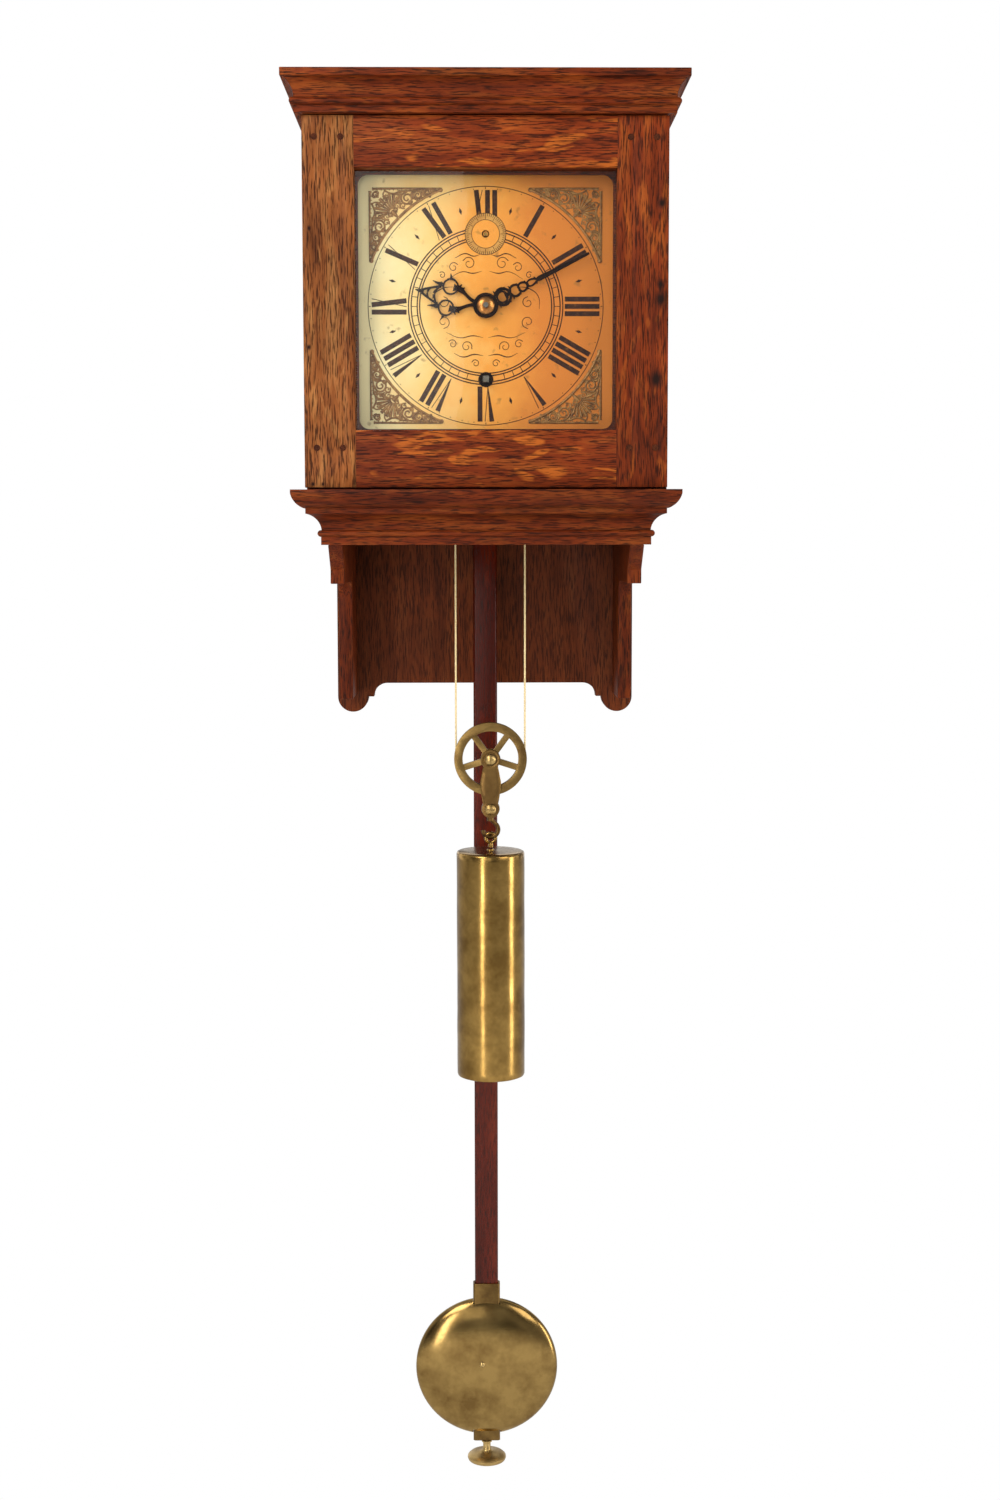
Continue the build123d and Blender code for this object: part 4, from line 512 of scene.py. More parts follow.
def pressFlat(piece, low, high, lift=0.0):
    for vertex in piece.data.vertices:
        vertex.co.z = min(max(vertex.co.z + lift, low), high)
    return piece


def standAt(piece, place, clock=0.0):
    piece.matrix_world = (
        Matrix.Translation(place) @ Matrix.Rotation(math.pi / 2, 4, "X")
        @ Matrix.Rotation(-math.radians(clock), 4, "Z") @ Matrix.Scale(mm, 4))
    return piece


def cutOut(piece, tool):
    pick(piece, tool)
    bpy.ops.object.transform_apply()
    modify(piece, "BOOLEAN", object=tool, operation="DIFFERENCE")
    dropPiece(tool)


def circlePoints(x, y, radius, half, count=8):
    angles = [2 * math.pi * step / count for step in (*range(count), 0)]
    return [(x + radius * math.cos(angle), y + radius * math.sin(angle), half) for angle in angles]


def spiralPoints(x, y, radius, start, turns, half, count=9):
    points = []
    for step in range(count):
        share = step / (count - 1)
        reach = radius * (1 - 0.75 * share)    # the eye of the spiral is a quarter of its reach
        angle = start + turns * 2 * math.pi * share
        points.append((x + reach * math.cos(angle), y + reach * math.sin(angle),
                       half * (1 - 0.3 * share)))
    return points


# dial: everything on it is drawn in millimetres from its centre, twelve upwards
dialLow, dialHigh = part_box("dial_plate")
dialCentre = Vector((0, dialLow.y, (dialLow.z + dialHigh.z) / 2))
engraving = {              # mm
    "thickness": 0.12,     # of the wax that stands on the face
    "circle": 92.0,        # outer circle of the chapter ring
    "numeralIn": 61.8, "numeralOut": 89.0,
    "stroke": 3.8, "hairline": 0.55, "gap": 1.8,
    "vWide": 7.4, "xWide": 7.0,
    "quarterRings": (60.3, 58.2, 53.5, 51.6), "quarterHalf": 0.48,
    "quarterIn": 53.4, "quarterOut": 58.3,
    "lozengeAt": 75.3, "lozengeLong": 5.8, "lozengeWide": 2.3,
    "minuteIn": 89.6, "minuteOut": 90.5, "fiveOut": 91.4, "minuteWide": 0.7,
    "windingAt": -56.5,
}


def layOnDial(piece, clock=0.0, forward=0.0):
    return standAt(piece, dialCentre + Vector((0, -forward * mm, 0)), clock)


def ringBand(inner, outer, y=0.0, vertices=128):
    piece = newPiece("circle", vertices=vertices, radius=outer, fill_type="NGON",
                     location=(0, y, 0))
    bpy.ops.object.mode_set(mode="EDIT")
    bpy.ops.mesh.select_all(action="SELECT")
    bpy.ops.mesh.inset(thickness=outer - inner)
    bpy.ops.mesh.delete(type="FACE")
    bpy.ops.object.mode_set(mode="OBJECT")
    bpy.ops.object.transform_apply()
    return piece


bar = newPiece("plane", size=1)
wedge = newPiece("plane", size=1)
for vertex in wedge.data.vertices:
    if vertex.co.y < 0:
        vertex.co.x *= 0.12                    # the stroke's foot, as a share of its head
lozenge = newPiece("circle", vertices=4, radius=0.5, fill_type="NGON")
dot = newPiece("circle", vertices=8, radius=0.5, fill_type="NGON")


def strokeBetween(master, start, end, wide, turn=0.0):
    across, up = end[0] - start[0], end[1] - start[1]
    return copyAt(master, Matrix.Rotation(-math.radians(turn), 4, "Z")
                  @ Matrix.Translation(((start[0] + end[0]) / 2, (start[1] + end[1]) / 2, 0))
                  @ Matrix.Rotation(-math.atan2(across, up), 4, "Z")
                  @ Matrix.Diagonal((wide, math.hypot(across, up), 1, 1)))


inlay = []
low, high = engraving["numeralIn"], engraving["numeralOut"]
thick, thin = engraving["stroke"], engraving["hairline"]
letters = {                # width, then strokes: brush, foot and head from the middle, width
    "I": (thick, (bar, 0, 0, thick)),
    "V": (engraving["vWide"], (wedge, 1.2, -1.9, thick), (bar, 1.2, 3.4, thin)),
    "X": (engraving["xWide"], (bar, 1.6, -1.6, thick), (bar, -3.1, 3.1, thin)),
}
for hour, numeral in enumerate("I II III IIII V VI VII VIII IX X XI XII".split(), 1):
    turn = 30 * hour
    total = sum(letters[letter][0] for letter in numeral) + engraving["gap"] * (len(numeral) - 1)
    left = -total / 2
    for letter in numeral:
        wide, *strokes = letters[letter]
        middle = left + wide / 2
        for brush, foot, head, width in strokes:
            inlay.append(strokeBetween(brush, (middle + foot, low), (middle + head, high),
                                       width, turn))
        left += wide + engraving["gap"]
    reach = engraving["lozengeLong"] / 2
    inlay.append(strokeBetween(lozenge, (0, engraving["lozengeAt"] - reach),
                               (0, engraving["lozengeAt"] + reach),
                               engraving["lozengeWide"], turn + 15))
for minute in range(60):
    tip = engraving["minuteOut"] if minute % 5 else engraving["fiveOut"]
    inlay.append(strokeBetween(dot, (0, engraving["minuteIn"]), (0, tip),
                               engraving["minuteWide"], 6 * minute))
for step in range(48):     # two ticks to a quarter of an hour, none under twelve and six
    if abs(step - 24) > 1 and not (step < 3 or step > 45):
        inlay.append(strokeBetween(bar, (0, engraving["quarterIn"]), (0, engraving["quarterOut"]),
                                   thin, 7.5 * step))
inlay.append(ringBand(engraving["circle"] - 0.5, engraving["circle"] + 0.1, vertices=180))
for radius in engraving["quarterRings"]:
    inlay.append(ringBand(radius - engraving["quarterHalf"], radius + engraving["quarterHalf"]))
numerals = thicken(joinAll(inlay), engraving["thickness"])
finishPiece(layOnDial(numerals), "dialEngraving", engravingWax, "case")

# seconds ring, on a thin disc of its own, and the ring round the winding square
secondsRing = {            # mm
    "at": 55.5,            # above the dial's centre
    "hole": 1.9, "inner": 10.9, "outer": 15.9,
    "tickIn": 13.4, "fiveIn": 11.6, "tickOut": 15.7, "tickWide": 0.42,
    "band": 0.22, "raised": 0.3,       # thickness of the disc, and of its middle and its ticks
}
secondsAt, raised = secondsRing["at"], secondsRing["raised"]
inner, outer = secondsRing["inner"], secondsRing["outer"]
band = thicken(ringBand(secondsRing["hole"], outer, secondsAt, 96), secondsRing["band"])
finishPiece(layOnDial(band), "secondsBand", secondsBrass, "case")
middleDisc = thicken(ringBand(secondsRing["hole"], inner - 0.3, secondsAt, 96), raised)
finishPiece(layOnDial(middleDisc), "secondsMiddle", dialBrass, "case")
ticks = []
for second in range(60):
    angle = math.radians(6 * second)
    start, end = [(reach * math.sin(angle), secondsAt + reach * math.cos(angle)) for reach in (
        secondsRing["tickIn" if second % 5 else "fiveIn"], secondsRing["tickOut"])]
    ticks.append(strokeBetween(bar, start, end, secondsRing["tickWide"]))
ticks.append(ringBand(outer - 0.2, outer + 0.2, secondsAt))
ticks.append(ringBand(inner - 0.25, inner + 0.2, secondsAt))
ticks.append(ringBand(secondsRing["hole"], secondsRing["hole"] + 1.0, secondsAt, 48))
seconds = pressFlat(thicken(joinAll(ticks), raised), 0, raised)
finishPiece(layOnDial(seconds), "secondsTicks", engravingWax, "case")
windingRing = turnPiece(
    ((3.9, 0), (3.9, 1.0), (4.4, 1.5), (5.4, 1.3), (5.9, 0.5), (5.9, 0), (3.9, 0)),
    dialCentre + Vector((0, 0, engraving["windingAt"] * mm)))
finishPiece(windingRing, "windingRing", darkSteel, "case")

# plain pen flourishes fill the middle of the dial, each drawn for both sides
penWork = {
    "spirals": (           # place in mm, size, start and turns
        (13, 33, 5.2, 0.4, 1.25), (25, 30, 4.0, 2.6, -1.2), (34, 24, 2.8, 0.8, 1.1),
        (15, -31, 4.6, 3.6, -1.25), (26, -29, 3.6, 0.6, 1.2), (8, -44, 3.2, 0.3, 1.2),
        (33, 3, 4.6, 1.6, 1.15), (33, -12, 5.2, 4.7, -1.2)),
    "sweeps": (            # place and half width in mm
        ((4, 40, 0.1), (9, 38.5, 0.4), (16, 40.5, 0.45), (24, 37, 0.2)),
        ((3, 27, 0.1), (10, 25.4, 0.45), (18, 26.6, 0.3), (29, 21, 0.12)),
        ((2, -24, 0.1), (10, -22.6, 0.45), (20, -24.2, 0.3), (31, -20, 0.12)),
        ((2, -38, 0.12), (9, -37, 0.5), (18, -39, 0.4), (25, -36, 0.12)),
        ((24, 15, 0.1), (33, 14, 0.4), (41, 8, 0.3), (42, -2, 0.15))),
    "half": 0.34,          # mm, half width of a spiral at its start
}
flourishes = []
for side in (-1, 1):
    for x, y, size, start, turns in penWork["spirals"]:
        angle = math.pi - start if side < 0 else start
        flourishes.append(spiralPoints(side * x, y, size, angle, side * turns, penWork["half"]))
    for sweep in penWork["sweeps"]:
        flourishes.append([(side * x, y, half) for x, y, half in sweep])
pen = pressFlat(drawRibbons(flourishes, 1, 6), 0, 0.1)
finishPiece(layOnDial(pen), "dialFlourishes", engravingWax, "case")
for master in (bar, wedge, lozenge, dot):
    dropPiece(master)
print("dial ready")

# corner ornaments: pierced scrolls cast in brass, one corner drawn and turned for the others
corner = {
    "edge": 91.0,          # mm, dial centre to the outer edges
    "volutes": ((30.0, 8.4, 5.4), (38.4, 6.0, 4.0), (45.4, 4.2, 2.9), (51.2, 3.0, 2.0),
                (56.2, 2.0, 1.3)),         # place along the arm, in from the edge, radius
    "boundary": 94.6,      # mm, inner curve round the dial
    "strip": ((3.0, 1.2, 0.9), (15, 1.0, 0.8), (30, 0.9, 0.7), (45, 0.8, 0.6), (57, 0.7, 0.4)),
    "curls": ((8, 22, 3.6), (14, 27, 2.6), (22, 14.5, 3.0), (5.2, 14, 3.2), (11.5, 33, 2.0),
              (4, 24.5, 2.0), (8.4, 41, 1.7), (6.4, 48, 1.2), (17, 21.5, 2.0), (5.0, 6.4, 3.0),
              (9.5, 13.5, 2.6)),
    "stem": ((12, 2.4, 0.7), (19, 5.0, 0.8), (25, 3.2, 0.7), (31, 2.8, 0.7), (37, 2.2, 0.7),
             (44, 1.8, 0.6), (52, 1.4, 0.5)),
    "shellAt": 19.0, "shellRibs": 9, "shellSpread": 2.2,
}
edge = corner["edge"]


def cornerStroke(points):
    return [(a - edge, edge - b, half) for a, b, half in points]


scrolls = []
for flip in (False, True):
    strokes = []
    for index, (along, inward, radius) in enumerate(corner["volutes"]):
        way = 1 if index % 2 else -1
        strokes.append(spiralPoints(along, inward, radius, way * math.pi / 2, way * 1.7, 0.85))
        strokes.append([(along, inward, radius * 0.22), (along + 0.1, inward, radius * 0.22)])
        strokes.append([(along - radius * 0.9, inward + radius * 0.8, 0.4),
                        (along - radius * 1.25, inward - 0.2, 0.9),
                        (along - radius * 0.8, max(inward - radius * 1.0, 1.1), 0.6)])
    for step in range(17):     # small lumps along the outer edge
        along = 3.2 + 3.2 * step
        half = 1.3 - 0.05 * step
        strokes.append([(along, 1.4, 1.4 - 0.05 * step), (along + 0.7, 1.3, half)])
    rim = []
    for step in range(9):
        angle = math.radians(45 + 4.1 * step)
        rim.append((edge - corner["boundary"] * math.cos(angle) - 0.6,
                    edge - corner["boundary"] * math.sin(angle) - 0.9, 1.1))
    strokes.append([(b, a, half) for a, b, half in rim if min(a, b) > 0.6])
    strokes.append(corner["strip"])
    for a, b, size in corner["curls"]:
        strokes.append(spiralPoints(b, a, size, 1.0, 1.3, 0.6, 7))
        strokes.append([(b, a, 0.6), (b + 0.1, a, 0.6)])
    strokes.append(corner["stem"])
    for points in strokes:
        if flip:
            points = [(b, a, half) for a, b, half in points]
        scrolls.append(cornerStroke(points))
for rib in range(corner["shellRibs"]):
    share = rib / (corner["shellRibs"] - 1) - 0.5
    angle = math.pi * 1.25 + corner["shellSpread"] * share
    start = corner["shellAt"]
    long = 14.5 - 10 * share * share
    scrolls.append(cornerStroke([
        (start + reach * math.cos(angle), start + reach * math.sin(angle), half)
        for reach, half in ((2.5, 0.4), (long * 0.6, 0.9), (long, 1.35))]))
scrolls.append(cornerStroke([(18, 18, 1.4), (20, 20, 1.7), (23, 23, 0.7)]))
scrollWork = pressFlat(drawRibbons(scrolls, 2, 4), 0.0, 3.0, 0.3)
corners = [copyAt(scrollWork, Matrix.Rotation(-quarter * math.pi / 2, 4, "Z"))
           for quarter in range(4)]
dropPiece(scrollWork)
spandrels = joinAll(corners)
finishPiece(layOnDial(spandrels), "spandrelScrolls", scrollBrass, "case", 60)
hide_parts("spandrels")
print("corner ornaments ready")

# hands: filed from steel, drawn pointing to twelve as (along, aside, half width) in mm
minuteLow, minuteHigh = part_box("minute_hand")
hands = {
    "thickness": 1.2,
    "hub": 9.1,            # mm, hub's radius
    "fuller": 1.22,        # strokes widened so that they read as in the photo
    "voxel": 0.22,         # mm, at which the strokes are fused
}
minuteReach = math.hypot(max(-minuteLow.x, minuteHigh.x), minuteHigh.z - dialCentre.z) / mm


def handStrokes(mirrored, single):
    drawn = [(side, points) for points in mirrored for side in (-1, 1)]
    return [[(side * aside, along, half * hands["fuller"]) for along, aside, half in points]
            for side, points in (*drawn, *((1, points) for points in single))]


def hourRing(at, aside, radius, half):
    return [(y, x, h) for x, y, h in circlePoints(aside, at, radius, half)]


hourStrokes = handStrokes((
    [(8.6, 0.9, 1.3), (13, 2.6, 1.05), (18, 5.6, 1.1), (21.5, 7.6, 1.9), (24.2, 8.2, 1.7)],
    hourRing(29.9, 8.3, 5.7, 0.62),
    [(24.2, 8.2, 1.3), (27.4, 8.2, 2.5), (27.6, 8.2, 2.5)],
    [(21.2, 6.5, 1.0), (20.2, 8.8, 0.8), (18.8, 10.0, 0.25)],
    [(23.0, 9.8, 0.8), (21.6, 12.0, 0.25)],
    [(30.6, 13.4, 1.3), (31.0, 15.4, 0.8), (32.0, 18.2, 0.25)],
    [(27.6, 14.6, 0.25), (30.8, 14.2, 0.8), (33.8, 13.6, 0.25)],
    [(35.0, 8.2, 0.9), (37.6, 8.5, 1.5), (40.6, 8.9, 0.8), (44.6, 9.8, 0.25)],
    [(37.4, 10.6, 0.2), (38.0, 8.4, 0.9), (38.6, 6.6, 0.8)],
    [(37.0, 6.8, 0.9), (41.0, 5.6, 0.75), (45.5, 3.8, 0.7), (50.5, 1.4, 0.8)],
    [(38.6, 5.6, 0.4), (40.4, 3.0, 0.85), (41.4, 0.4, 1.0)],
    [(45.0, 3.6, 0.4), (46.2, 1.8, 0.6), (46.9, 0.2, 0.7)],
), (
    [(49.5, 0, 1.2), (51.0, 0, 1.5), (53.5, 0, 0.9), (56.5, 0, 0.25)],
))
minuteStrokes = handStrokes((
    [(8.8, 2.4, 1.0), (11.6, 5.4, 0.85), (16.0, 6.2, 1.1), (19.6, 4.0, 0.9), (21.6, 0.8, 1.0)],
    [(10.6, 5.0, 0.6), (9.8, 7.2, 0.25)],
    [(19.4, 4.0, 0.8), (19.0, 6.6, 0.25)],
    [(21.6, 0.8, 0.9), (23.0, 3.4, 0.8), (26.4, 4.2, 0.9), (29.2, 2.2, 0.7), (28.4, 0.6, 0.6)],
    [(22.8, 3.4, 0.7), (22.0, 5.6, 0.25)],
    [(28.6, 0.8, 0.8), (30.4, 3.0, 0.7), (33.6, 3.0, 0.8), (36.0, 1.2, 0.7)],
    [(29.4, 2.4, 0.6), (28.6, 4.8, 0.25)],
    [(36.0, 0.8, 0.7), (38.0, 2.2, 0.6), (41.4, 2.0, 0.7), (44.6, 0.6, 0.8)],
    [(35.8, 1.4, 0.6), (35.2, 3.8, 0.25)],
    [(44.0, 0.8, 0.7), (43.2, 3.2, 0.25)],
), (
    hourRing(14.6, 0, 4.1, 0.6),
    [(18.4, 0, 1.4), (16.9, 0, 2.2), (16.7, 0, 2.2)],
    [(19.0, 0, 1.2), (22.4, 0, 1.0)],
    [(28.2, 0, 0.9), (30.0, 0, 0.8)],
    [(35.0, 0, 0.9), (37.4, 0, 0.7)],
    [(43.4, 0, 0.8), (46.5, 0, 1.75), (60.0, 0, 1.5), (minuteReach - 1.0, 0, 0.85)],
))
for name, strokes, clock, hole, body, node in (    # clock in degrees, the hub's hole in mm
        ("hourHand", hourStrokes, 283.0, 4.5, "hour", "hour_hand"),
        ("minuteHand", minuteStrokes, 63.5, 3.2, "minute", "minute_hand")):
    half = hands["thickness"] / 2
    depth = (dialLow.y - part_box(node)[1].y) / mm
    work = pressFlat(drawRibbons(strokes, 3, 6), -half, half)
    hub = thicken(ringBand(hole, hands["hub"], vertices=64), hands["thickness"])
    for vertex in hub.data.vertices:
        vertex.co.z -= half
    work = modify(joinAll([work, hub]), "REMESH", mode="VOXEL", voxel_size=hands["voxel"])
    hand = finishPiece(layOnDial(work, clock, depth + half), name, darkSteel, body,
                       50)
    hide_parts(node)
colletFoot = Vector((0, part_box("hand_collet")[1].y, dialCentre.z))
bossRing = turnPiece(((7.3, -0.2), (7.3, 0.9), (7.9, 1.5), (8.9, 1.5), (9.6, 0.9), (9.8, 0.0),
                      (9.8, -0.9), (7.3, -0.9), (7.3, -0.2)), colletFoot)
finishPiece(bossRing, "minuteBoss", darkSteel, "minute", 40)
collet = turnPiece(((2.2, 0), (2.2, 2.7), (3.4, 2.6), (5.0, 2.1), (6.4, 1.3), (7.3, 0.3),
                    (7.3, 0), (2.2, 0)), colletFoot)
finishPiece(collet, "handCollet", colletBrass, "minute", 40)
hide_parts("hand_collet")
print("hands ready")

# weight: a brass shell, turned, then dented by long use
weightLow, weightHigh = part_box("weight_shell")
coreLow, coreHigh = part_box("weight_core")
weightMiddle = (coreLow + coreHigh) / 2
weight = {
    "radius": (weightHigh.x - weightLow.x) / 2 / mm,
    "wall": 1.2,           # mm of brass at each end of the filling
    "dent": 0.22,          # mm, deepest dent
    "dentSize": 26.0,      # mm
    "rings": 48,           # steps along the side, so that it can be dented
}
radius, rings = weight["radius"], weight["rings"]
length = (coreHigh.z - coreLow.z) / mm + 2 * weight["wall"]
weightTop = coreHigh.z / mm + weight["wall"]
weightFoot = Vector((weightMiddle.x, weightMiddle.y, (weightTop - length) * mm))
profile = [(0, 0), (10, 0), (20, 0), (radius - 2.0, 0.1), (radius - 0.6, 0.7), (radius - 0.05, 2.2)]
for step in range(1, rings):
    profile.append((radius - 0.05, 2.2 + (length - 4.6) * step / rings))
profile += [(radius - 0.05, length - 2.2), (radius - 0.6, length - 0.7), (radius - 1.8, length),
            (20, length + 0.2), (10, length + 0.4), (3.4, length + 0.6), (3.2, length + 1.4),
            (2.2, length + 1.8), (0, length + 1.8)]
shell = turnPiece(profile, weightFoot, axis=(0, 0, 1), steps=96)
pick(shell)
bpy.ops.object.transform_apply()
dents = bpy.data.textures.new("dents", "CLOUDS")
dents.noise_scale = weight["dentSize"] * mm
dents.noise_depth = 1
modify(shell, "DISPLACE", texture=dents, texture_coords="GLOBAL",
       strength=weight["dent"] * mm * 2, mid_level=0.75)
eye = drawRibbons([circlePoints(0, 0, 4.0, 1.5, 12),
                   [(0, -4.2, 2.0), (0, -6.0, 2.2), (0, -7.8, 2.2)]], 4, 6)
pick(standAt(eye, (weightMiddle.x, weightMiddle.y, weightHigh.z - 5.5 * mm)))
bpy.ops.object.transform_apply()
shell = finishPiece(joinAll([shell, eye]), "weightShell", weightBrass, "weight", 40)
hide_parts("weight_shell")

# pulley: rivet in the strap's eye, ball and screw under the strap
axleLow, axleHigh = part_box("pulley_axle")
axle = Vector(((axleLow.x + axleHigh.x) / 2, axleLow.y, (axleLow.z + axleHigh.z) / 2))


def slottedHead(name, place, radius, turn):
    head = turnPiece([(radius * wide, radius * high) for wide, high in (
        (0, 0.5), (0.35, 0.46), (0.68, 0.34), (0.92, 0.12), (1, -0.15), (0, -0.15), (0, 0.5))],
        place, steps=40)
    slit = newPiece("cube", size=1, location=place + Vector((0, -0.5 * radius * mm, 0)),
                    rotation=(0, turn, 0),
                    scale=(2.4 * radius * mm, 0.5 * radius * mm, 0.24 * radius * mm))
    cutOut(head, slit)
    finishPiece(head, name, turnedBrass, "weight", 30)


slottedHead("pulleyRivet", axle + Vector((0, 0.4 * mm, 0)), 4.6, math.pi / 2)
washer = turnPiece(((5.4, 0.3), (6.6, 1.0), (7.9, 0.8), (8.3, 0.0), (8.3, -0.5), (5.4, -0.5),
                    (5.4, 0.3)), axle + Vector((0, 2.0 * mm, 0)), steps=48)
finishPiece(washer, "pulleyWasher", strapBrass, "weight", 40)
stirrupLow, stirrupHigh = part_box("pulley_stirrup")
ballRadius = 7.7           # mm
ballProfile = [(ballRadius * math.sin(math.pi * step / 14),
                ballRadius * math.cos(math.pi * step / 14)) for step in range(15)]
ballPlace = Vector((axle.x, (stirrupLow.y + stirrupHigh.y) / 2, stirrupLow.z + 7.2 * mm))
ball = turnPiece(ballProfile, ballPlace, axis=(0, 0, 1), steps=40)
finishPiece(ball, "hookBall", pulleyBronze, "weight", 40)
slottedHead("hookScrew", ballPlace + Vector((0, -(ballRadius - 1.0) * mm, 0)), 4.9, 0.0)
leaf = [(0, -6, 6.2), (0, -12, 7.4), (0, -19, 8.7), (0, -26, 8.2), (0, -32, 6.8), (0, -37, 5.6)]
strapFace = pressFlat(drawRibbons([leaf], 4, 8), 0, 0.8)
finishPiece(standAt(strapFace, (axle.x, stirrupLow.y, axle.z)), "strapFace", strapBrass,
            "weight", 40)

# lines: three strands laid up, two falls and the bight under the pulley
line = {
    "half": 0.75, "strand": 0.42, "layRadius": 0.42,     # mm: radii of line, strand and lay
    "lay": 4.2,            # mm along the line for one turn of the strands
    "stepsPerTurn": 8,
}


def twistedLine(name, path, body=""):
    out = Vector((0, -1, 0))
    lengths = [0.0]
    for first, second in zip(path, path[1:]):
        lengths.append(lengths[-1] + (second - first).length)
    data = bpy.data.curves.new(name, "CURVE")
    data.dimensions = "3D"
    data.bevel_depth = line["strand"] * mm
    data.bevel_resolution = 1
    data.use_fill_caps = True
    count = int(lengths[-1] / (line["lay"] * mm) * line["stepsPerTurn"])
    for strand in range(3):
        spline = data.splines.new("POLY")
        spline.points.add(count)
        segment = 0
        for step in range(count + 1):
            along = lengths[-1] * step / count
            while segment < len(path) - 2 and lengths[segment + 1] < along:
                segment += 1
            share = (along - lengths[segment]) / (lengths[segment + 1] - lengths[segment])
            middle = path[segment].lerp(path[segment + 1], share)
            ahead = (path[segment + 1] - path[segment]).normalized()
            side = ahead.cross(out).normalized()
            angle = 2 * math.pi * (along / (line["lay"] * mm) + strand / 3)
            turned = side * math.cos(angle) + out * math.sin(angle)
            place = middle + turned * line["layRadius"] * mm
            spline.points[step].co = (*place, 1)
    piece = bpy.data.objects.new(name, data)
    bpy.context.collection.objects.link(piece)
    pick(piece)
    bpy.ops.object.convert(target="MESH")
    piece = bpy.context.object
    piece.data.materials.clear()
    piece.data.materials.append(linenCord)
    if body:
        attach(piece, body)
    return piece


for node in ("line_fall_barrel", "line_fall_fixed"):
    low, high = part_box(node)
    x, y = (low.x + high.x) / 2, (low.y + high.y) / 2
    fall = twistedLine("fall" + node.split("_")[2].title(),
                       [Vector((x, y, high.z)), Vector((x, y, low.z))])
    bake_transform(fall)
    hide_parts(node)
low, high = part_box("line_wrap")
wrapRadius = (high.x - low.x) / 2 - line["half"] * mm
wrapCentre = Vector(((low.x + high.x) / 2, (low.y + high.y) / 2, high.z))
bight = [wrapCentre + Vector((-wrapRadius * math.cos(math.pi * step / 48), 0,
                              -wrapRadius * math.sin(math.pi * step / 48))) for step in range(49)]
wrap = twistedLine("lineWrap", bight, "weight")
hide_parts("line_wrap")
print("weight, pulley and lines ready")

# bob: two spun brass faces over lead, on a slot that fits the sleeve
bobLow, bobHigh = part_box("bob")
sleeveLow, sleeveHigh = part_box("bob_sleeve")
bobMiddle = (bobLow + bobHigh) / 2
bobRadius = (bobHigh.x - bobLow.x) / 2 / mm
bobHalf = (bobHigh.y - bobLow.y) / 2 / mm
bobRim = 0.3               # mm, half the height of the bob's edge
bobShape = [(bobRadius * math.sin(math.radians(5.5 * step)),
             (bobHalf - bobRim) * math.cos(math.radians(5.5 * step)) + bobRim)
            for step in range(17)]
profile = bobShape + [(radius, -height) for radius, height in reversed(bobShape)]
bob = turnPiece(profile, bobMiddle, steps=128)
slotHole = newPiece("cube", size=1, location=((sleeveLow.x + sleeveHigh.x) / 2,
                                              (sleeveLow.y + sleeveHigh.y) / 2, bobMiddle.z),
                    scale=(sleeveHigh.x - sleeveLow.x + 0.2 * mm,
                           sleeveHigh.y - sleeveLow.y + 0.2 * mm, 0.2))
cutOut(bob, slotHole)
finishPiece(bob, "bobLens", bobBrass, "bob", 30)
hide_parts("bob")
screw = turnPiece(((0, 2.0), (1.4, 1.8), (2.5, 1.0), (2.8, 0), (0, 0), (0, 2.0)),
                  Vector((bobMiddle.x - 0.004, bobLow.y + 0.0004, bobMiddle.z + 0.006)), steps=24)
finishPiece(screw, "bobScrew", turnedBrass, "bob", 40)
nutLow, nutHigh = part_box("rating_nut")
nutTop = (nutHigh.z - nutLow.z) / mm
nutShape = ((3.4, nutTop), (3.4, nutTop - 0.6), (4.6, nutTop - 1.2), (4.6, nutTop - 2.4),
            (3.4, nutTop - 3.2), (3.4, 10.5), (4.2, 9.2), (6.4, 8.0), (10.0, 6.8), (15.0, 5.8),
            (17.0, 4.0), (17.2, 2.4), (16.4, 0.8), (14.6, 0.0), (2.2, 0.0), (2.2, nutTop),
            (3.4, nutTop))
nutFoot = Vector(((nutLow.x + nutHigh.x) / 2, (nutLow.y + nutHigh.y) / 2, nutLow.z))
nut = turnPiece(nutShape, nutFoot, (0, 0, 1))
finishPiece(nut, "ratingNut", turnedBrass, frame["nodes"]["rating_nut"]["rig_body"], 40)
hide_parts("rating_nut")
print("pendulum ready")

# floor, backdrop and light
floorLevel = -1.35         # metres, from the hanging hole
bpy.ops.mesh.primitive_plane_add(size=12, location=(0, 0, floorLevel))
floor = bpy.context.object
floor.name = "studioFloor"
floorPaint = newMaterial("floorPaint")         # matt, and white to the camera
paleFloor = addNode(floorPaint, "ShaderNodeBsdfDiffuse", {"Color": (0.9, 0.9, 0.89, 1)})
paleGlow = addNode(floorPaint, "ShaderNodeEmission", {"Color": (1, 1, 1, 1), "Strength": 1.0})
seenFloor = addNode(floorPaint, "ShaderNodeLightPath").outputs["Is Camera Ray"]
closeMaterial(floorPaint, addNode(floorPaint, "ShaderNodeMixShader", {
    0: seenFloor, 1: paleFloor, 2: paleGlow}))
floor.data.materials.append(floorPaint)

# world: white to the camera and through glass, a room with lit and dark walls in the metal
world = bpy.data.worlds.new("studioWorld")
bpy.context.scene.world = world
world.use_nodes = True
world.node_tree.nodes.clear()
gaze = addNode(world, "ShaderNodeTexCoord").outputs["Generated"]
sky = addNode(world, "ShaderNodeSeparateXYZ", {"Vector": gaze})
room = addNode(world, "ShaderNodeMapRange", {
    "Value": sky.outputs["Y"], "From Min": -0.75, "From Max": 0.35, "To Min": 0.26, "To Max": 1.0})
walls = addNode(world, "ShaderNodeTexNoise", {"Vector": gaze, "Scale": 3.2, "Detail": 1.0})
patches = addNode(world, "ShaderNodeMapRange", {
    "Value": walls, "From Min": 0.38, "From Max": 0.62, "To Min": 0.18, "To Max": 1.5})
mirrored = addNode(world, "ShaderNodeMath", {0: room, 1: patches}, operation="MULTIPLY")
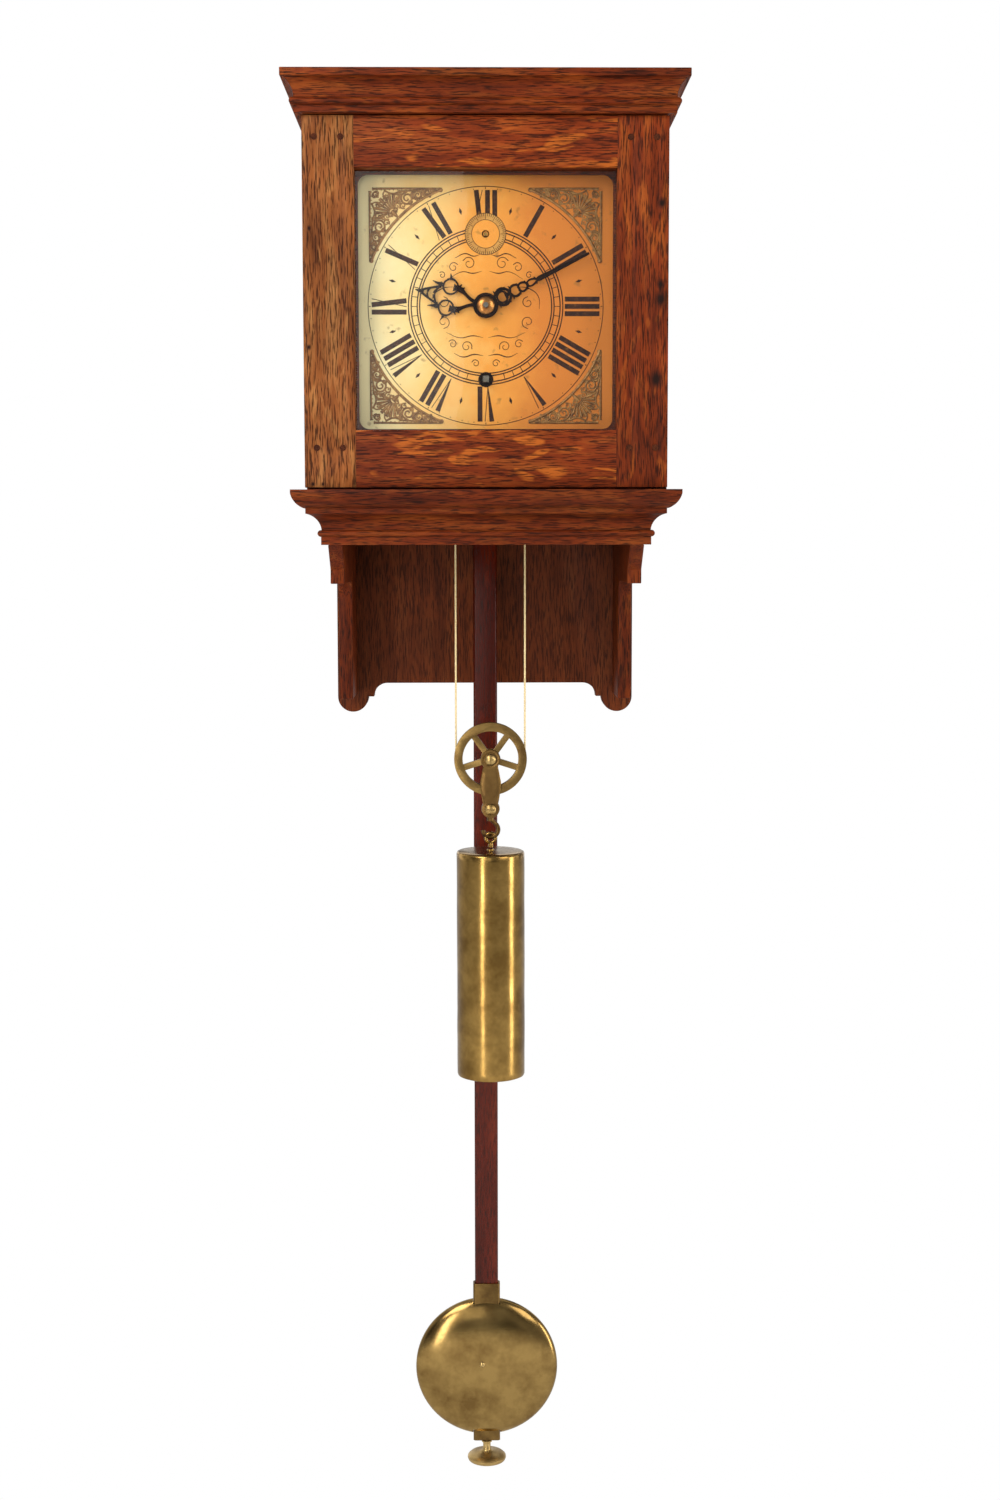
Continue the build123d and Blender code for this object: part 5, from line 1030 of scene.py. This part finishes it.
paths = addNode(world, "ShaderNodeLightPath")
glossy = addNode(world, "ShaderNodeMix", {
    "Factor": paths.outputs["Is Glossy Ray"], "A": 0.58, "B": mirrored})
seen = addNode(world, "ShaderNodeMath", {
    0: paths.outputs["Is Camera Ray"], 1: paths.outputs["Is Transmission Ray"]},
    operation="MAXIMUM")
strength = addNode(world, "ShaderNodeMath", {0: seen, 1: glossy}, operation="MAXIMUM")
backdrop = addNode(world, "ShaderNodeBackground", {"Color": (1, 1, 1, 1), "Strength": strength})
addNode(world, "ShaderNodeOutputWorld", {"Surface": backdrop})

bulb = (0.09, 0.09, 1.2, (1.0, 0.85, 0.6))
lamps = {                  # name: place, aim, width and height in metres, watts, colour
    "windowLamp": ((-1.1, -4.2, 0.3), (0, -0.2, -0.1), 2.2, 1.7, 13, (1.0, 0.98, 0.93)),
    "keyLamp": ((-1.5, -2.2, 1.1), (0, -0.1, -0.2), 1.4, 1.4, 48, (1.0, 0.97, 0.92)),
    "fillLamp": ((1.7, -1.8, 0.4), (0, -0.1, -0.2), 1.2, 1.2, 20, (1.0, 0.96, 0.9)),
    "leftStrip": ((-1.15, -2.3, -0.7), (0, -0.1, -0.8), 0.35, 1.2, 13, (1.0, 0.98, 0.94)),
    "rightStrip": ((2.2, -0.75, -0.7), (0, -0.1, -0.8), 0.45, 1.2, 14, (1.0, 0.98, 0.94)),
    "bulbOne": ((-1.5, -2.0, 0.9), (0, -0.1, -1.0), *bulb),
    "bulbTwo": ((-1.9, -2.2, 0.3), (0, -0.1, -1.0), *bulb),
    "bulbThree": ((-1.1, -1.6, 1.2), (0, -0.1, -1.0), *bulb),
}
for name, (place, aim, wide, high, watts, colour) in lamps.items():
    data = bpy.data.lights.new(name, "AREA")
    data.shape = "RECTANGLE"
    data.size = wide
    data.size_y = high
    data.energy = watts
    data.color = colour
    lamp = bpy.data.objects.new(name, data)
    bpy.context.collection.objects.link(lamp)
    lamp.location = place
    lamp.rotation_euler = (Vector(aim) - Vector(place)).to_track_quat("-Z", "Y").to_euler()
print("studio ready")
